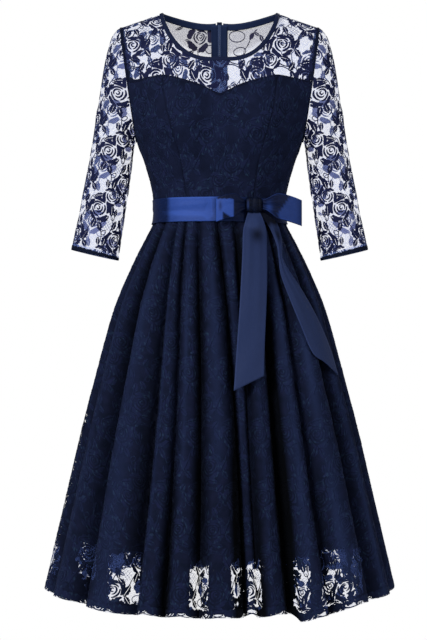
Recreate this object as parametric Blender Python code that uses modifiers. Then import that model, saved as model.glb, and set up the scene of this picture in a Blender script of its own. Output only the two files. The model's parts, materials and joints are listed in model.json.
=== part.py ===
"""Cocktail dress with a lace yoke and sleeves, a ribbon sash tied in a bow, and a folded skirt.

Every cut piece is a thin wall of its own, 0.3 mm from the piece it is sewn to. Lengths are metres.
+Z is up, +X is the wearer's left, the front faces -Y, and the origin lies midway between the two
high points of the shoulders, where a wearer's shoulders carry the dress.
"""

import math
from bisect import bisect_right
from typing import NamedTuple

import bmesh
import bpy
from mathutils import Matrix, Vector
from mathutils.geometry import delaunay_2d_cdt

MM = 0.001
FRONT = -1
BACK = 1
LEFT = 1
RIGHT = -1

# Cloth
SEAM_GAP = 0.3 * MM
LACE_WALL = 1.4 * MM
BODICE_WALL = 1.8 * MM
LINING_WALL = 1.2 * MM
RIBBON_WALL = 1.1 * MM
BINDING_WALL = 2.4 * MM
TAPE_WALL = 1.0 * MM
TRIM_GAP = 0.7 * MM

# Levels of the dress, from the shoulders down
ARCH_BASE = -0.124
UNDERARM = -0.221
SASH_TOP = -0.3225
WAIST_SEAM = -0.3435
SASH_BOTTOM = -0.3630
LINING_HEM = -0.908
SKIRT_HEM = -0.990

# Shoulders, neck and armholes
NECK_HALF_WIDTH = 0.0963
SHOULDER_TIP = 0.168
SHOULDER_SLOPE = 0.34
NECK_RISE = 0.46
NECK_TURN = {FRONT: 0.863, BACK: 0.495}
NECK_POWER = {FRONT: 2.65, BACK: 2.0}
BINDING_WIDTH = 7.5 * MM
BINDING_END = 6.7 * MM
BINDING_BEARING = math.pi - (BINDING_END / NECK_HALF_WIDTH) ** (NECK_POWER[BACK] / 2)
NECK_BEARINGS = [math.radians(9 * k) for k in range(20)] + [BINDING_BEARING]
ARMHOLE_MIDDLE = 0.1545
ARMHOLE_LEAN = 0.0135
ARMHOLE_DEPTH = 0.052
ARMHOLE_LIFTS = (0.14, 0.34, 0.54, 0.73, 0.89, 0.978)

# Bust cups, as two soft rises of the front
CUP_X = 0.080
CUP_Z = -0.186
CUP_RISE = 0.026
CUP_WIDTH = 0.036
CUP_HEIGHT = 0.042

# Waist ring of the bodice's cloth
WAIST_HALF_WIDTH = 0.1115
WAIST_FRONT = 0.0885
WAIST_BACK = 0.0815


class Level(NamedTuple):
    """A ring of the dress: its half width, and its depth in front of and behind the middle."""

    z: float
    half_width: float
    front: float
    back: float


TORSO = (
    Level(0.030, 0.1680, 0.066, 0.070),
    Level(-0.060, 0.1620, 0.078, 0.086),
    Level(ARCH_BASE, 0.1545, 0.091, 0.095),
    Level(-0.170, 0.1480, 0.103, 0.098),
    Level(UNDERARM, 0.1410, 0.105, 0.095),
    Level(-0.260, 0.1272, 0.100, 0.089),
    Level(-0.305, 0.1150, 0.092, 0.083),
    Level(WAIST_SEAM, WAIST_HALF_WIDTH, WAIST_FRONT, WAIST_BACK),
)

SKIRT = (
    Level(WAIST_SEAM, WAIST_HALF_WIDTH, WAIST_FRONT, WAIST_BACK),
    Level(SASH_BOTTOM, 0.1145, 0.092, 0.087),
    Level(-0.392, 0.1295, 0.103, 0.101),
    Level(-0.4405, 0.1535, 0.121, 0.125),
    Level(-0.508, 0.1815, 0.143, 0.152),
    Level(-0.6006, 0.2075, 0.166, 0.178),
    Level(-0.719, 0.2380, 0.191, 0.204),
    Level(-0.824, 0.2620, 0.213, 0.227),
    Level(-0.939, 0.2885, 0.237, 0.251),
    Level(SKIRT_HEM, 0.3000, 0.247, 0.262),
)


class Fold(NamedTuple):
    """A valley of the skirt: its bearing at the waist and at the hem, and its depth at the hem."""

    waist_deg: float
    hem_deg: float
    depth: float


FOLDS = (
    Fold(-173.0, -173.5, 0.028),
    Fold(-157.0, -154.0, 0.034),
    Fold(-141.0, -138.0, 0.030),
    Fold(-126.0, -122.0, 0.036),
    Fold(-110.0, -106.0, 0.030),
    Fold(-93.0, -91.0, 0.026),
    Fold(-76.0, -75.0, 0.030),
    Fold(-57.0, -53.0, 0.046),
    Fold(-41.0, -29.0, 0.034),
    Fold(-32.0, -18.5, 0.030),
    Fold(-20.4, -7.2, 0.032),
    Fold(-3.7, 8.2, 0.042),
    Fold(12.0, 12.6, 0.034),
    Fold(34.0, 24.4, 0.052),
    Fold(44.5, 39.5, 0.036),
    Fold(60.0, 60.5, 0.040),
    Fold(77.0, 78.0, 0.030),
    Fold(95.0, 95.0, 0.026),
    Fold(111.0, 109.0, 0.034),
    Fold(126.0, 124.0, 0.030),
    Fold(141.0, 139.0, 0.036),
    Fold(157.0, 156.0, 0.030),
    Fold(173.0, 173.5, 0.028),
)
FOLD_SWING = 0.16
FOLD_GROWTH = 0.12
FOLD_STEEPNESS = 0.5
FOLD_ROUNDNESS = 3.0
SKIRT_STATIONS = (0.0, 0.18, 0.5, 0.82)
LINING_STATIONS = (0.0, 0.3, 0.7)
SEAM_STATION = 0.08
SASH_ROWS = (SASH_TOP, -0.333, WAIST_SEAM, SASH_BOTTOM)
SKIRT_ROWS = (WAIST_SEAM, SASH_BOTTOM, -0.400, -0.455, -0.540, -0.660, -0.780, -0.898, SKIRT_HEM)
LINING_ROWS = (WAIST_SEAM, SASH_BOTTOM, -0.410, -0.500, -0.690, LINING_HEM)
LINING_FOLD_SHARE = 0.85
LINING_INSET_WAIST = 2.1 * MM
LINING_INSET_HEM = 13.0 * MM
LINING_INSET_DROP = 0.06
LACE_BORDER = SKIRT_HEM + 0.004, -0.903
LACE_FLAT_LEVEL = -0.950

# The skirt's panels, named by the fold whose ridge carries each seam
SIDE_SEAM_RIGHT = 5
SIDE_SEAM_LEFT = 16


class EdgePoint(NamedTuple):
    """A point of a seam line across the front or the back."""

    x: float
    z: float


SWEETHEART = (
    EdgePoint(0.000, -0.1530),
    EdgePoint(0.009, -0.1492),
    EdgePoint(0.0175, -0.1449),
    EdgePoint(0.032, -0.1375),
    EdgePoint(0.053, -0.1302),
    EdgePoint(0.075, -0.1235),
    EdgePoint(0.094, -0.1186),
    EdgePoint(0.107, -0.1191),
    EdgePoint(0.128, -0.1217),
    EdgePoint(0.156, -0.1246),
)
BACK_EDGE = (EdgePoint(0.0, -0.137), EdgePoint(0.080, -0.1335), EdgePoint(0.156, -0.1246))


class PrincessPoint(NamedTuple):
    """Where a princess seam runs at one level."""

    z: float
    x: float


PRINCESS = (
    PrincessPoint(-0.118, 0.0965),
    PrincessPoint(-0.186, 0.0860),
    PrincessPoint(-0.260, 0.0650),
    PrincessPoint(WAIST_SEAM, 0.0530),
)


class SleeveRing(NamedTuple):
    """A ring of the sleeve: its outer end, its underarm end and its half depth."""

    along: float
    outer_x: float
    outer_z: float
    under_x: float
    under_z: float
    depth: float
    forward: float


SLEEVE = (
    SleeveRing(0.00, 0.1688, -0.0245, 0.1434, -0.2200, 0.0522, 0.000),
    SleeveRing(0.04, 0.1765, -0.0300, 0.1458, -0.2270, 0.0518, 0.000),
    SleeveRing(0.12, 0.1860, -0.0445, 0.1475, -0.2350, 0.0505, 0.000),
    SleeveRing(0.25, 0.1968, -0.0860, 0.1495, -0.2500, 0.0475, 0.001),
    SleeveRing(0.40, 0.2060, -0.1447, 0.1520, -0.2720, 0.0445, 0.002),
    SleeveRing(0.58, 0.2175, -0.2205, 0.1568, -0.3080, 0.0420, 0.004),
    SleeveRing(0.79, 0.2350, -0.3153, 0.1652, -0.3650, 0.0410, 0.007),
    SleeveRing(1.00, 0.2535, -0.4070, 0.1740, -0.4250, 0.0405, 0.010),
)
SLEEVE_HALF_GIRTH = 0.128
SLEEVE_LENGTH = 0.335


class Gap(NamedTuple):
    """A gap of the lace between its roses and leaves, in millimetres of its repeat."""

    x: float
    y: float
    length: float
    width: float
    tilt_deg: float


LACE_REPEAT = 84.0, 98.0
LACE_GAPS = (
    Gap(63.0, 21.0, 26.0, 15.0, 70.0),
    Gap(21.0, 70.0, 26.0, 15.0, 110.0),
    Gap(42.0, 50.0, 19.0, 11.0, 35.0),
    Gap(0.0, 47.0, 19.0, 11.0, -35.0),
    Gap(42.0, 0.0, 17.0, 11.0, -20.0),
)
GAP_SIDES = 6
GAP_MARGIN = 5.5 * MM
SHEET_SPACING = 5.0 * MM
VALLEY_MARGIN = 9.0 * MM
SHOULDER_ROW = 6.5 * MM
SLEEVE_TURNS = (0.0, 0.06, 0.18, 0.34, 0.5, 0.66, 0.82, 0.94, 1.0)


class RibbonStep(NamedTuple):
    """A cross line of a hanging ribbon end: its level, its middle and its width."""

    z: float
    x: float
    width: float
    tilt: float


TAIL_LONG = (
    RibbonStep(-0.3489, 0.0565, 0.0200, 0.0000),
    RibbonStep(-0.3600, 0.0575, 0.0290, 0.0000),
    RibbonStep(-0.3790, 0.0580, 0.0390, 0.0000),
    RibbonStep(-0.4150, 0.0575, 0.0410, 0.0000),
    RibbonStep(-0.4600, 0.0561, 0.0430, 0.0005),
    RibbonStep(-0.5100, 0.0535, 0.0440, 0.0010),
    RibbonStep(-0.5650, 0.0500, 0.0455, 0.0060),
    RibbonStep(-0.6290, 0.0465, 0.0490, 0.0235),
)
TAIL_SHORT = (
    RibbonStep(-0.3480, 0.0670, 0.0120, 0.0000),
    RibbonStep(-0.3630, 0.0850, 0.0150, 0.0040),
    RibbonStep(-0.3840, 0.0955, 0.0130, 0.0030),
    RibbonStep(-0.4050, 0.1000, 0.0090, 0.0010),
    RibbonStep(-0.4230, 0.1010, 0.0070, 0.0010),
    RibbonStep(-0.4480, 0.1080, 0.0150, 0.0050),
    RibbonStep(-0.4800, 0.1240, 0.0240, 0.0080),
    RibbonStep(-0.5300, 0.1480, 0.0310, 0.0100),
    RibbonStep(-0.5800, 0.1700, 0.0330, 0.0040),
    RibbonStep(-0.6080, 0.1860, 0.0240, -0.0220),
)
TAIL_CLEARANCE = 2.6 * MM

# Bow
KNOT_X = 0.0565
KNOT_Z = -0.3355
KNOT_HALF_WIDTH = 0.0125
KNOT_HALF_DEPTH = 0.0085
KNOT_HALF_HEIGHT = 0.0130
KNOT_SEAT = 0.9 * MM


class BowLoop(NamedTuple):
    """A flattened loop of ribbon: its reach from the knot and how far its two layers part."""

    reach: float
    forward: float
    droop: float
    front_bulge: float
    back_bulge: float
    half_height: float


LOOP_LEFT = BowLoop(0.067, 0.022, 0.013, 0.0085, 0.0030, 0.0215)
LOOP_RIGHT = BowLoop(0.049, -0.012, 0.010, 0.0085, 0.0012, 0.0195)
LOOP_PINCH = 1.2 * MM
LOOP_NECK = 0.0075

# Zip
TAPE_INNER = 0.6 * MM
TAPE_OUTER = 14.5 * MM
TAPE_INSET = 2.6 * MM
TAPE_END = -0.336
SLIDER_SIZE = 9.0 * MM, 7.0 * MM, 3.4 * MM
SLIDER_EDGE = 0.6 * MM
EAR_SIZE = 1.0 * MM, 2.6 * MM, 3.4 * MM
EAR_X = 3.6 * MM
EAR_ROOT = 0.8 * MM
PULL_BARREL = 0.8 * MM, 5.6 * MM
PULL_LENGTH = 21.0 * MM
PULL_WIDTH = 5.4 * MM
PULL_THICKNESS = 1.0 * MM
PULL_NECK = 1.6 * MM
PULL_SHOULDER = 6.5 * MM
HINGE_LIFT = 3.5 * MM

COLOURS = {
    "lace": (0.012, 0.016, 0.055, 0.85),
    "bodice": (0.010, 0.014, 0.042, 0.80),
    "lining": (0.006, 0.008, 0.022, 0.55),
    "binding": (0.012, 0.016, 0.034, 0.50),
    "ribbon": (0.030, 0.075, 0.300, 0.32),
    "tape": (0.020, 0.030, 0.085, 0.75),
    "metal": (0.060, 0.080, 0.180, 0.35),
}


def read_table(rows, at, name):
    """A smooth curve through one column of a table, read at a value of the table's first column."""
    keys = [row[0] for row in rows]
    values = [getattr(row, name) for row in rows]
    falling = keys[-1] < keys[0]
    if (at <= keys[0]) != falling or at == keys[0]:
        return values[0]
    if (at >= keys[-1]) != falling or at == keys[-1]:
        return values[-1]
    i = next(k for k in range(len(keys) - 1) if (at - keys[k]) * (at - keys[k + 1]) <= 0)

    def slope(k):
        low, high = max(k - 1, 0), min(k + 1, len(keys) - 1)
        return (values[high] - values[low]) / (keys[high] - keys[low])

    span = keys[i + 1] - keys[i]
    s = (at - keys[i]) / span
    start = (1 + 2 * s) * (1 - s) ** 2 * values[i] + s * (1 - s) ** 2 * span * slope(i)
    end = s * s * (3 - 2 * s) * values[i + 1] + s * s * (s - 1) * span * slope(i + 1)
    return start + end


def mix(a, b, share):
    """The value a given share of the way from a to b."""
    return a + (b - a) * share


def eased(value):
    """0 below 0, 1 above 1, and a soft rise between."""
    value = min(max(value, 0.0), 1.0)
    return value * value * (3 - 2 * value)


# ---------------------------------------------------------------- torso


def ridge(x):
    """Height of the shoulder line over x, carried on across the neck."""
    out = abs(x) - NECK_HALF_WIDTH
    return -SHOULDER_SLOPE * out if out > 0 else -NECK_RISE * out


def armhole_x(lift):
    """Half width at the armhole's edge; lift runs from -1 under the arm to 1 on the shoulder."""
    return ARMHOLE_MIDDLE + ARMHOLE_LEAN * lift


def torso_depth(side, x, z, lift):
    """How far the cloth lies from the middle plane, before the turn over the shoulder."""
    under = max(lift, -1.0)
    edge = armhole_x(lift) if lift > -1 else read_table(TORSO, z, "half_width")
    edge_depth = ARMHOLE_DEPTH * math.sqrt(max(1 - min(under, 0.0) ** 2, 0.0))
    centre = read_table(TORSO, z, "front" if side == FRONT else "back")
    share = min(abs(x) / edge, 1.0)
    power = 1 + min(under, 0.0) ** 2
    depth = edge_depth + (centre - edge_depth) * (1 - share * share) ** (1 / power)
    if side == FRONT:
        cups = sum(math.exp(-(((x - cup) / CUP_WIDTH) ** 2) / 2) for cup in (-CUP_X, CUP_X))
        level = math.exp(-(((z - CUP_Z) / CUP_HEIGHT) ** 2) / 2)
        depth += CUP_RISE * cups * level * (1 - share**4)
    return depth


def arch_point(x, turn):
    """A point of the shoulder arch; turn runs from 0 at the front base to pi at the back base."""
    side = FRONT if turn <= math.pi / 2 else BACK
    lift = math.sin(turn)
    z = ARCH_BASE + lift * (ridge(x) - ARCH_BASE)
    return Vector((x, side * torso_depth(side, x, z, lift) * abs(math.cos(turn)), z))


def arch_length(side, x):
    """Length of the cloth from the arch's base to the shoulder line."""
    rise = ridge(x) - ARCH_BASE
    depth = torso_depth(side, x, ARCH_BASE + 0.5 * rise, 0.5)
    bend = ((rise - depth) / (rise + depth)) ** 2
    return math.pi / 4 * (rise + depth) * (1 + bend / 4)


def torso_point(side, x, flat_z):
    """A point of the front or back cloth at a height measured along the cloth."""
    rise = flat_z - ARCH_BASE
    if rise > 0:
        turn = math.pi / 2 * min(rise / arch_length(side, x), 1.0)
        return arch_point(x, turn if side == FRONT else math.pi - turn)
    lift = rise / (ARCH_BASE - UNDERARM)
    return Vector((x, side * torso_depth(side, x, flat_z, lift), flat_z))


def flat_height(side, x, turn):
    """The height along the cloth that goes with a turn of the arch."""
    quarter = turn if side == FRONT else math.pi - turn
    return ARCH_BASE + arch_length(side, x) * quarter / (math.pi / 2)


def flat_of_level(side, x, z):
    """The height along the cloth of a level z."""
    if z <= ARCH_BASE:
        return z
    lift = (z - ARCH_BASE) / (ridge(x) - ARCH_BASE)
    turn = math.asin(min(lift, 1.0))
    return flat_height(side, x, turn if side == FRONT else math.pi - turn)


def torso_edge(z):
    """Half width of the torso, or of its armhole's edge, at a level."""
    lift = (z - ARCH_BASE) / (ARCH_BASE - UNDERARM)
    return armhole_x(lift) if lift > -1 else read_table(TORSO, z, "half_width")


def neck_turn(bearing):
    """The neck's edge in (x, turn); bearing runs from 0 at centre front to pi at centre back."""
    side = FRONT if abs(bearing) <= math.pi / 2 else BACK
    power = 2 / NECK_POWER[side]
    x = math.copysign(NECK_HALF_WIDTH * abs(math.sin(bearing)) ** power, bearing)
    dip = NECK_TURN[side] * abs(math.cos(bearing)) ** power
    turn = math.pi / 2 * (1 + side * dip)
    return x, turn


def neck_beyond(bearing, away):
    """The (x, turn) that lies a given way along the cloth from the neck's edge."""
    step = 1e-4
    x, turn = neck_turn(bearing)
    ahead = arch_point(*neck_turn(bearing + step))
    behind = arch_point(*neck_turn(bearing - step))
    along = (ahead - behind).normalized()
    by_x = (arch_point(x + step, turn) - arch_point(x - step, turn)) / (2 * step)
    by_turn = (arch_point(x, turn + step) - arch_point(x, turn - step)) / (2 * step)
    out = along.cross(by_x.cross(by_turn)).normalized()
    if out.dot(Vector((x, 0, 0)) + Vector((0, -math.cos(turn), 0)) * NECK_HALF_WIDTH) < 0:
        out = -out
    pull = out * away
    xx, xt, tt = by_x.dot(by_x), by_x.dot(by_turn), by_turn.dot(by_turn)
    px, pt = pull.dot(by_x), pull.dot(by_turn)
    det = xx * tt - xt * xt
    return x + (px * tt - pt * xt) / det, turn + (pt * xx - px * xt) / det


# ---------------------------------------------------------------- skirt


def fall(z):
    """How far a level lies below the waist seam."""
    return max(WAIST_SEAM - z, 0.0)


def fold_bearings(z):
    """The bearings of all valleys at a level, the first repeated a full turn on."""
    full = 1 - math.exp(-fall(SKIRT_HEM) / FOLD_SWING)
    share = (1 - math.exp(-fall(z) / FOLD_SWING)) / full
    bearings = [math.radians(mix(f.waist_deg, f.hem_deg, share)) for f in FOLDS]
    return [*bearings, bearings[0] + math.tau]


def skirt_point(place, z, fold_share=1.0, inset=0.0, nudge=0.0):
    """A point of the folded skirt; place counts folds round it, with parts of a fold between."""
    first = int(math.floor(place)) % len(FOLDS)
    part = place - math.floor(place)
    bearings = fold_bearings(z)
    bearing = mix(bearings[first], bearings[first + 1], part)
    growth = 1 - math.exp(-fall(z) / FOLD_GROWTH)
    depth = mix(FOLDS[first].depth, FOLDS[(first + 1) % len(FOLDS)].depth, part) * growth
    wide = read_table(SKIRT, z, "half_width")
    deep = read_table(SKIRT, z, "front" if math.cos(bearing) > 0 else "back")
    arc = (bearings[first + 1] - bearings[first]) * (wide + deep) / 2
    crest = 1 - abs(2 * part - 1) ** FOLD_ROUNDNESS
    sunk = depth - min(depth, FOLD_STEEPNESS * arc) * crest
    out = Vector((math.sin(bearing) * deep, -math.cos(bearing) * wide, 0)).normalized()
    along = Vector((-out.y, out.x, 0))
    ring = Vector((wide * math.sin(bearing), -deep * math.cos(bearing), z))
    return ring - out * (sunk * fold_share + inset) + along * nudge


def flat_lengths(steps=24):
    """Length of the folded cloth round the lace border, at even steps of every fold."""
    places = [k / steps for k in range(len(FOLDS) * steps + 1)]
    points = [skirt_point(place, LACE_FLAT_LEVEL) for place in places]
    lengths = [0.0]
    for before, after in zip(points, points[1:]):
        lengths.append(lengths[-1] + (after - before).length)
    return places, lengths


FLAT_PLACES, FLAT_LENGTHS = flat_lengths()


def place_to_flat(place):
    """Length along the border's cloth at a place counted in folds."""
    turns, rest = divmod(place, len(FOLDS))
    k = min(int(rest * (len(FLAT_PLACES) - 1) / len(FOLDS)), len(FLAT_PLACES) - 2)
    share = (rest - FLAT_PLACES[k]) / (FLAT_PLACES[k + 1] - FLAT_PLACES[k])
    return turns * FLAT_LENGTHS[-1] + mix(FLAT_LENGTHS[k], FLAT_LENGTHS[k + 1], share)


def flat_to_place(flat):
    """The place counted in folds at a length along the border's cloth."""
    turns, rest = divmod(flat, FLAT_LENGTHS[-1])
    k = min(bisect_right(FLAT_LENGTHS, rest) - 1, len(FLAT_LENGTHS) - 2)
    share = (rest - FLAT_LENGTHS[k]) / (FLAT_LENGTHS[k + 1] - FLAT_LENGTHS[k])
    return turns * len(FOLDS) + mix(FLAT_PLACES[k], FLAT_PLACES[k + 1], share)


def waist_shell(bearing, z):
    """The outside form that the sash lies on."""
    rows = TORSO if z > WAIST_SEAM else SKIRT
    wide = read_table(rows, z, "half_width")
    deep = read_table(rows, z, "front" if math.cos(bearing) > 0 else "back")
    return wide, deep


def front_depth(x, z):
    """How far the skirt's ridges, or the waist above them, stand in front at a place."""
    wide, deep = waist_shell(0.0, z)
    return deep * math.sqrt(max(1 - (x / wide) ** 2, 0.02))


# ---------------------------------------------------------------- sleeve


def sleeve_point(arm, side, turn, along):
    """A point of a sleeve; turn is 0 on its outer line and pi under the arm, along runs to 1."""
    ring = {name: read_table(SLEEVE, along, name) for name in SleeveRing._fields[1:]}
    middle_x = (ring["outer_x"] + ring["under_x"]) / 2
    middle_z = (ring["outer_z"] + ring["under_z"]) / 2
    reach_x = (ring["outer_x"] - ring["under_x"]) / 2
    reach_z = (ring["outer_z"] - ring["under_z"]) / 2
    y = side * (ring["depth"] * math.sin(turn) + SEAM_GAP / 2) - ring["forward"]
    x = middle_x + reach_x * math.cos(turn)
    return Vector((arm * x, y, middle_z + reach_z * math.cos(turn)))


# ---------------------------------------------------------------- flat sheets


def inside(point, outline):
    """True if a flat point lies within an outline."""
    found = False
    for a, b in zip(outline, outline[1:] + outline[:1]):
        if (a[1] > point[1]) != (b[1] > point[1]):
            if point[0] < (b[0] - a[0]) * (point[1] - a[1]) / (b[1] - a[1]) + a[0]:
                found = not found
    return found


def edge_distance(point, outline):
    """Distance from a flat point to the nearest edge of an outline."""
    best = math.inf
    for a, b in zip(outline, outline[1:] + outline[:1]):
        run_x, run_y = b[0] - a[0], b[1] - a[1]
        size = run_x * run_x + run_y * run_y or 1.0
        share = ((point[0] - a[0]) * run_x + (point[1] - a[1]) * run_y) / size
        share = min(max(share, 0.0), 1.0)
        best = min(best, math.hypot(point[0] - a[0] - share * run_x, point[1] - a[1] - share * run_y))
    return best


def gap_outline(gap, shift_x, shift_y):
    """The corners of one gap, moved to its repeat, in metres of the flat cloth."""
    tilt = math.radians(gap.tilt_deg)
    corners = []
    for k in range(GAP_SIDES):
        angle = math.tau * k / GAP_SIDES
        u = gap.length / 2 * math.cos(angle)
        v = gap.width / 2 * math.sin(angle) * 1.12
        x = gap.x + shift_x + u * math.cos(tilt) - v * math.sin(tilt)
        y = gap.y + shift_y + u * math.sin(tilt) + v * math.cos(tilt)
        corners.append((x * MM, y * MM))
    return corners


def lace_gaps(outline, keep=None):
    """The gaps of the repeating lace that lie whole within an outline."""
    low_x, high_x = min(p[0] for p in outline), max(p[0] for p in outline)
    low_y, high_y = min(p[1] for p in outline), max(p[1] for p in outline)
    wide, high = LACE_REPEAT
    found = []
    for i in range(math.floor(low_x / MM / wide) - 1, math.ceil(high_x / MM / wide) + 1):
        for j in range(math.floor(low_y / MM / high) - 1, math.ceil(high_y / MM / high) + 1):
            for gap in LACE_GAPS:
                corners = gap_outline(gap, i * wide, j * high)
                clear = all(inside(p, outline) and edge_distance(p, outline) > GAP_MARGIN for p in corners)
                if clear and (keep is None or keep(corners)):
                    found.append(corners)
    return found


def cut_sheet(outline, inner_points, gaps, creases=()):
    """Points and triangles of a flat sheet with its gaps cut through, folded along its creases."""
    points = list(outline)
    edges = [(k, (k + 1) % len(outline)) for k in range(len(outline))]
    edges += creases
    for gap in gaps:
        start = len(points)
        points += gap
        edges += [(start + k, start + (k + 1) % len(gap)) for k in range(len(gap))]
    for point in inner_points:
        if not inside(point, outline) or edge_distance(point, outline) < SHEET_SPACING:
            continue
        if all(not inside(point, gap) and edge_distance(point, gap) > SHEET_SPACING for gap in gaps):
            points.append(point)
    flat = [Vector(point) / MM for point in points]
    flat, _, faces, _, _, _ = delaunay_2d_cdt(flat, edges, [], 0, 1e-4)
    kept = []
    for face in faces:
        middle = sum((flat[k] for k in face), Vector((0, 0))) * MM / 3
        if inside(middle, outline) and not any(inside(middle, gap) for gap in gaps):
            kept.append(face)
    return [point * MM for point in flat], kept


# ---------------------------------------------------------------- making objects


def make_material(name):
    """The finish of one kind of cloth or metal."""
    material = bpy.data.materials.new(name)
    material.use_nodes = True
    shader = material.node_tree.nodes["Principled BSDF"]
    *colour, roughness = COLOURS[name]
    shader.inputs["Base Color"].default_value = (*colour, 1)
    shader.inputs["Roughness"].default_value = roughness
    shader.inputs["Metallic"].default_value = 1.0 if name == "metal" else 0.0
    material.diffuse_color = (*colour, 1)
    return material


class Maker:
    """Keeps the dress's collection and materials, and adds its pieces to them."""

    def __init__(self):
        """Clears the scene and opens the dress's collection."""
        for thing in list(bpy.data.objects):
            bpy.data.objects.remove(thing)
        self.collection = bpy.data.collections.new("cocktail_dress")
        bpy.context.scene.collection.children.link(self.collection)
        self.materials = {name: make_material(name) for name in COLOURS}

    def add_mesh(self, name, mesh, finish):
        """Links a finished mesh as one piece."""
        mesh.materials.append(self.materials[finish])
        piece = bpy.data.objects.new(name, mesh)
        self.collection.objects.link(piece)
        return piece

    def cloth(self, name, points, faces, finish, wall):
        """A sheet of cloth: an open surface with its thickness set half to each side."""
        mesh = bpy.data.meshes.new(name)
        mesh.from_pydata([tuple(p) for p in points], [], faces)
        mesh.validate()
        work = bmesh.new()
        work.from_mesh(mesh)
        loose = [v for v in work.verts if not v.link_faces]
        bmesh.ops.delete(work, geom=loose, context="VERTS")
        bmesh.ops.recalc_face_normals(work, faces=work.faces[:])
        work.to_mesh(mesh)
        work.free()
        mesh.shade_smooth()
        piece = self.add_mesh(name, mesh, finish)
        thick = piece.modifiers.new("wall", "SOLIDIFY")
        thick.thickness = wall
        thick.offset = 0
        return piece

    def grid(self, name, rows, finish, wall, closed=False):
        """A sheet of cloth from rows of points, joined round if it is closed."""
        across = len(rows[0])
        points = [point for row in rows for point in row]
        faces = []
        for r in range(len(rows) - 1):
            for c in range(across if closed else across - 1):
                d = (c + 1) % across
                low, high = r * across, (r + 1) * across
                faces.append((low + c, low + d, high + d, high + c))
        return self.cloth(name, points, faces, finish, wall)

    def lace(self, name, outline, inner_points, gaps, surface):
        """A sheet of lace, cut flat and then bent to its form."""
        flat, faces = cut_sheet(outline, inner_points, gaps)
        return self.cloth(name, [surface(*p) for p in flat], faces, "lace", LACE_WALL)


# ---------------------------------------------------------------- pieces


def spread(count, low=0.0, high=1.0):
    """Evenly spaced values from low to high."""
    return [mix(low, high, k / (count - 1)) for k in range(count)]


def seam_shift(side, point):
    """Moves a front or back piece half a seam's gap from the other."""
    return point + Vector((0, side * SEAM_GAP / 2, 0))


def near_shoulder(side, across):
    """Flat points that run close beside the shoulder seam, where the cloth turns over."""
    return [(x, flat_height(side, x, math.pi / 2) - SHOULDER_ROW) for x in across]


def add_yoke_front(maker):
    """Sheer lace from the sweetheart line to the neck's binding, the shoulders and the armholes."""
    half = []
    for share in spread(9):
        x = share * torso_edge(-0.1246)
        half.append((x, read_table(SWEETHEART, x, "z") + SEAM_GAP / 2))
    for lift in ARMHOLE_LIFTS:
        x = armhole_x(lift)
        half.append((x, flat_height(FRONT, x, math.asin(lift))))
    for x in spread(4, SHOULDER_TIP, NECK_HALF_WIDTH + BINDING_WIDTH + 2 * SEAM_GAP):
        half.append((x, flat_height(FRONT, x, math.pi / 2)))
    for bearing in reversed(NECK_BEARINGS[:10]):
        x, turn = neck_beyond(bearing, BINDING_WIDTH + SEAM_GAP)
        half.append((max(x, 0.0), flat_height(FRONT, x, turn)))
    outline = half + [(-x, v) for x, v in reversed(half[1:-1])]
    inner = near_shoulder(FRONT, spread(15, -0.154, 0.154))
    inner += [(x, v) for x in spread(15, -0.154, 0.154) for v in spread(8, -0.135, 0.020)]

    def surface(x, v):
        return seam_shift(FRONT, torso_point(FRONT, x, v))

    maker.lace("yoke_front", outline, inner, lace_gaps(outline), surface)


def add_yoke_back(maker, arm, name):
    """One half of the sheer back, from the zip to the shoulder and the armhole."""
    half = []
    for share in spread(6):
        x = max(share * torso_edge(-0.1246), SEAM_GAP)
        half.append((x, read_table(BACK_EDGE, x, "z") + SEAM_GAP / 2))
    for lift in ARMHOLE_LIFTS:
        x = armhole_x(lift)
        half.append((x, flat_height(BACK, x, math.pi - math.asin(lift))))
    for x in spread(4, SHOULDER_TIP, NECK_HALF_WIDTH + BINDING_WIDTH + 2 * SEAM_GAP):
        half.append((x, flat_height(BACK, x, math.pi / 2)))
    for bearing in NECK_BEARINGS[11:]:
        x, turn = neck_beyond(bearing, BINDING_WIDTH + SEAM_GAP)
        half.append((x, flat_height(BACK, x, turn)))
    half += [(SEAM_GAP, v) for v in spread(10, half[-1][1], half[0][1])[:-1]]
    half.reverse()
    inner = near_shoulder(BACK, spread(8, 0.008, 0.158))
    inner += [(x, v) for x in spread(8, 0.008, 0.154) for v in spread(10, -0.125, 0.040)]

    def beside_the_zip(corners):
        return min(x for x, _ in corners) > TAPE_OUTER

    def surface(x, v):
        return seam_shift(BACK, torso_point(BACK, arm * x, v))

    maker.lace(name, half, inner, lace_gaps(half, beside_the_zip), surface)


def add_binding(maker):
    """The narrow binding round the neck, open behind where the zip's slider sits."""
    bearings = [-bearing for bearing in reversed(NECK_BEARINGS[1:])] + NECK_BEARINGS
    rows = []
    for away in (0.0, BINDING_WIDTH / 2, BINDING_WIDTH):
        rows.append([arch_point(*neck_beyond(bearing, away)) for bearing in bearings])
    maker.grid("neck_binding", rows, "binding", BINDING_WALL)


def bodice_rows(side, top, left_x, right_x, columns, rows):
    """Points of a bodice panel between two seam lines, from its top edge to the waist."""
    points = []
    for down in spread(rows):
        row = []
        for across in spread(columns):
            level = ARCH_BASE
            for _ in range(6):
                edge = torso_edge(level)
                low = math.asin(min(max(left_x(level) / edge, -1.0), 1.0))
                high = math.asin(min(max(right_x(level) / edge, -1.0), 1.0))
                x = edge * math.sin(mix(low, high, across))
                start = read_table(top, abs(x), "z") - SEAM_GAP / 2
                level = mix(start, WAIST_SEAM + SEAM_GAP / 2, down**0.9)
            row.append(seam_shift(side, torso_point(side, x, flat_of_level(side, x, level))))
        points.append(row)
    return points


def princess(z, away=0.0):
    """Where the princess seam runs at a level, or a line a given way out from it."""
    return read_table(PRINCESS, z, "x") + away


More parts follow.
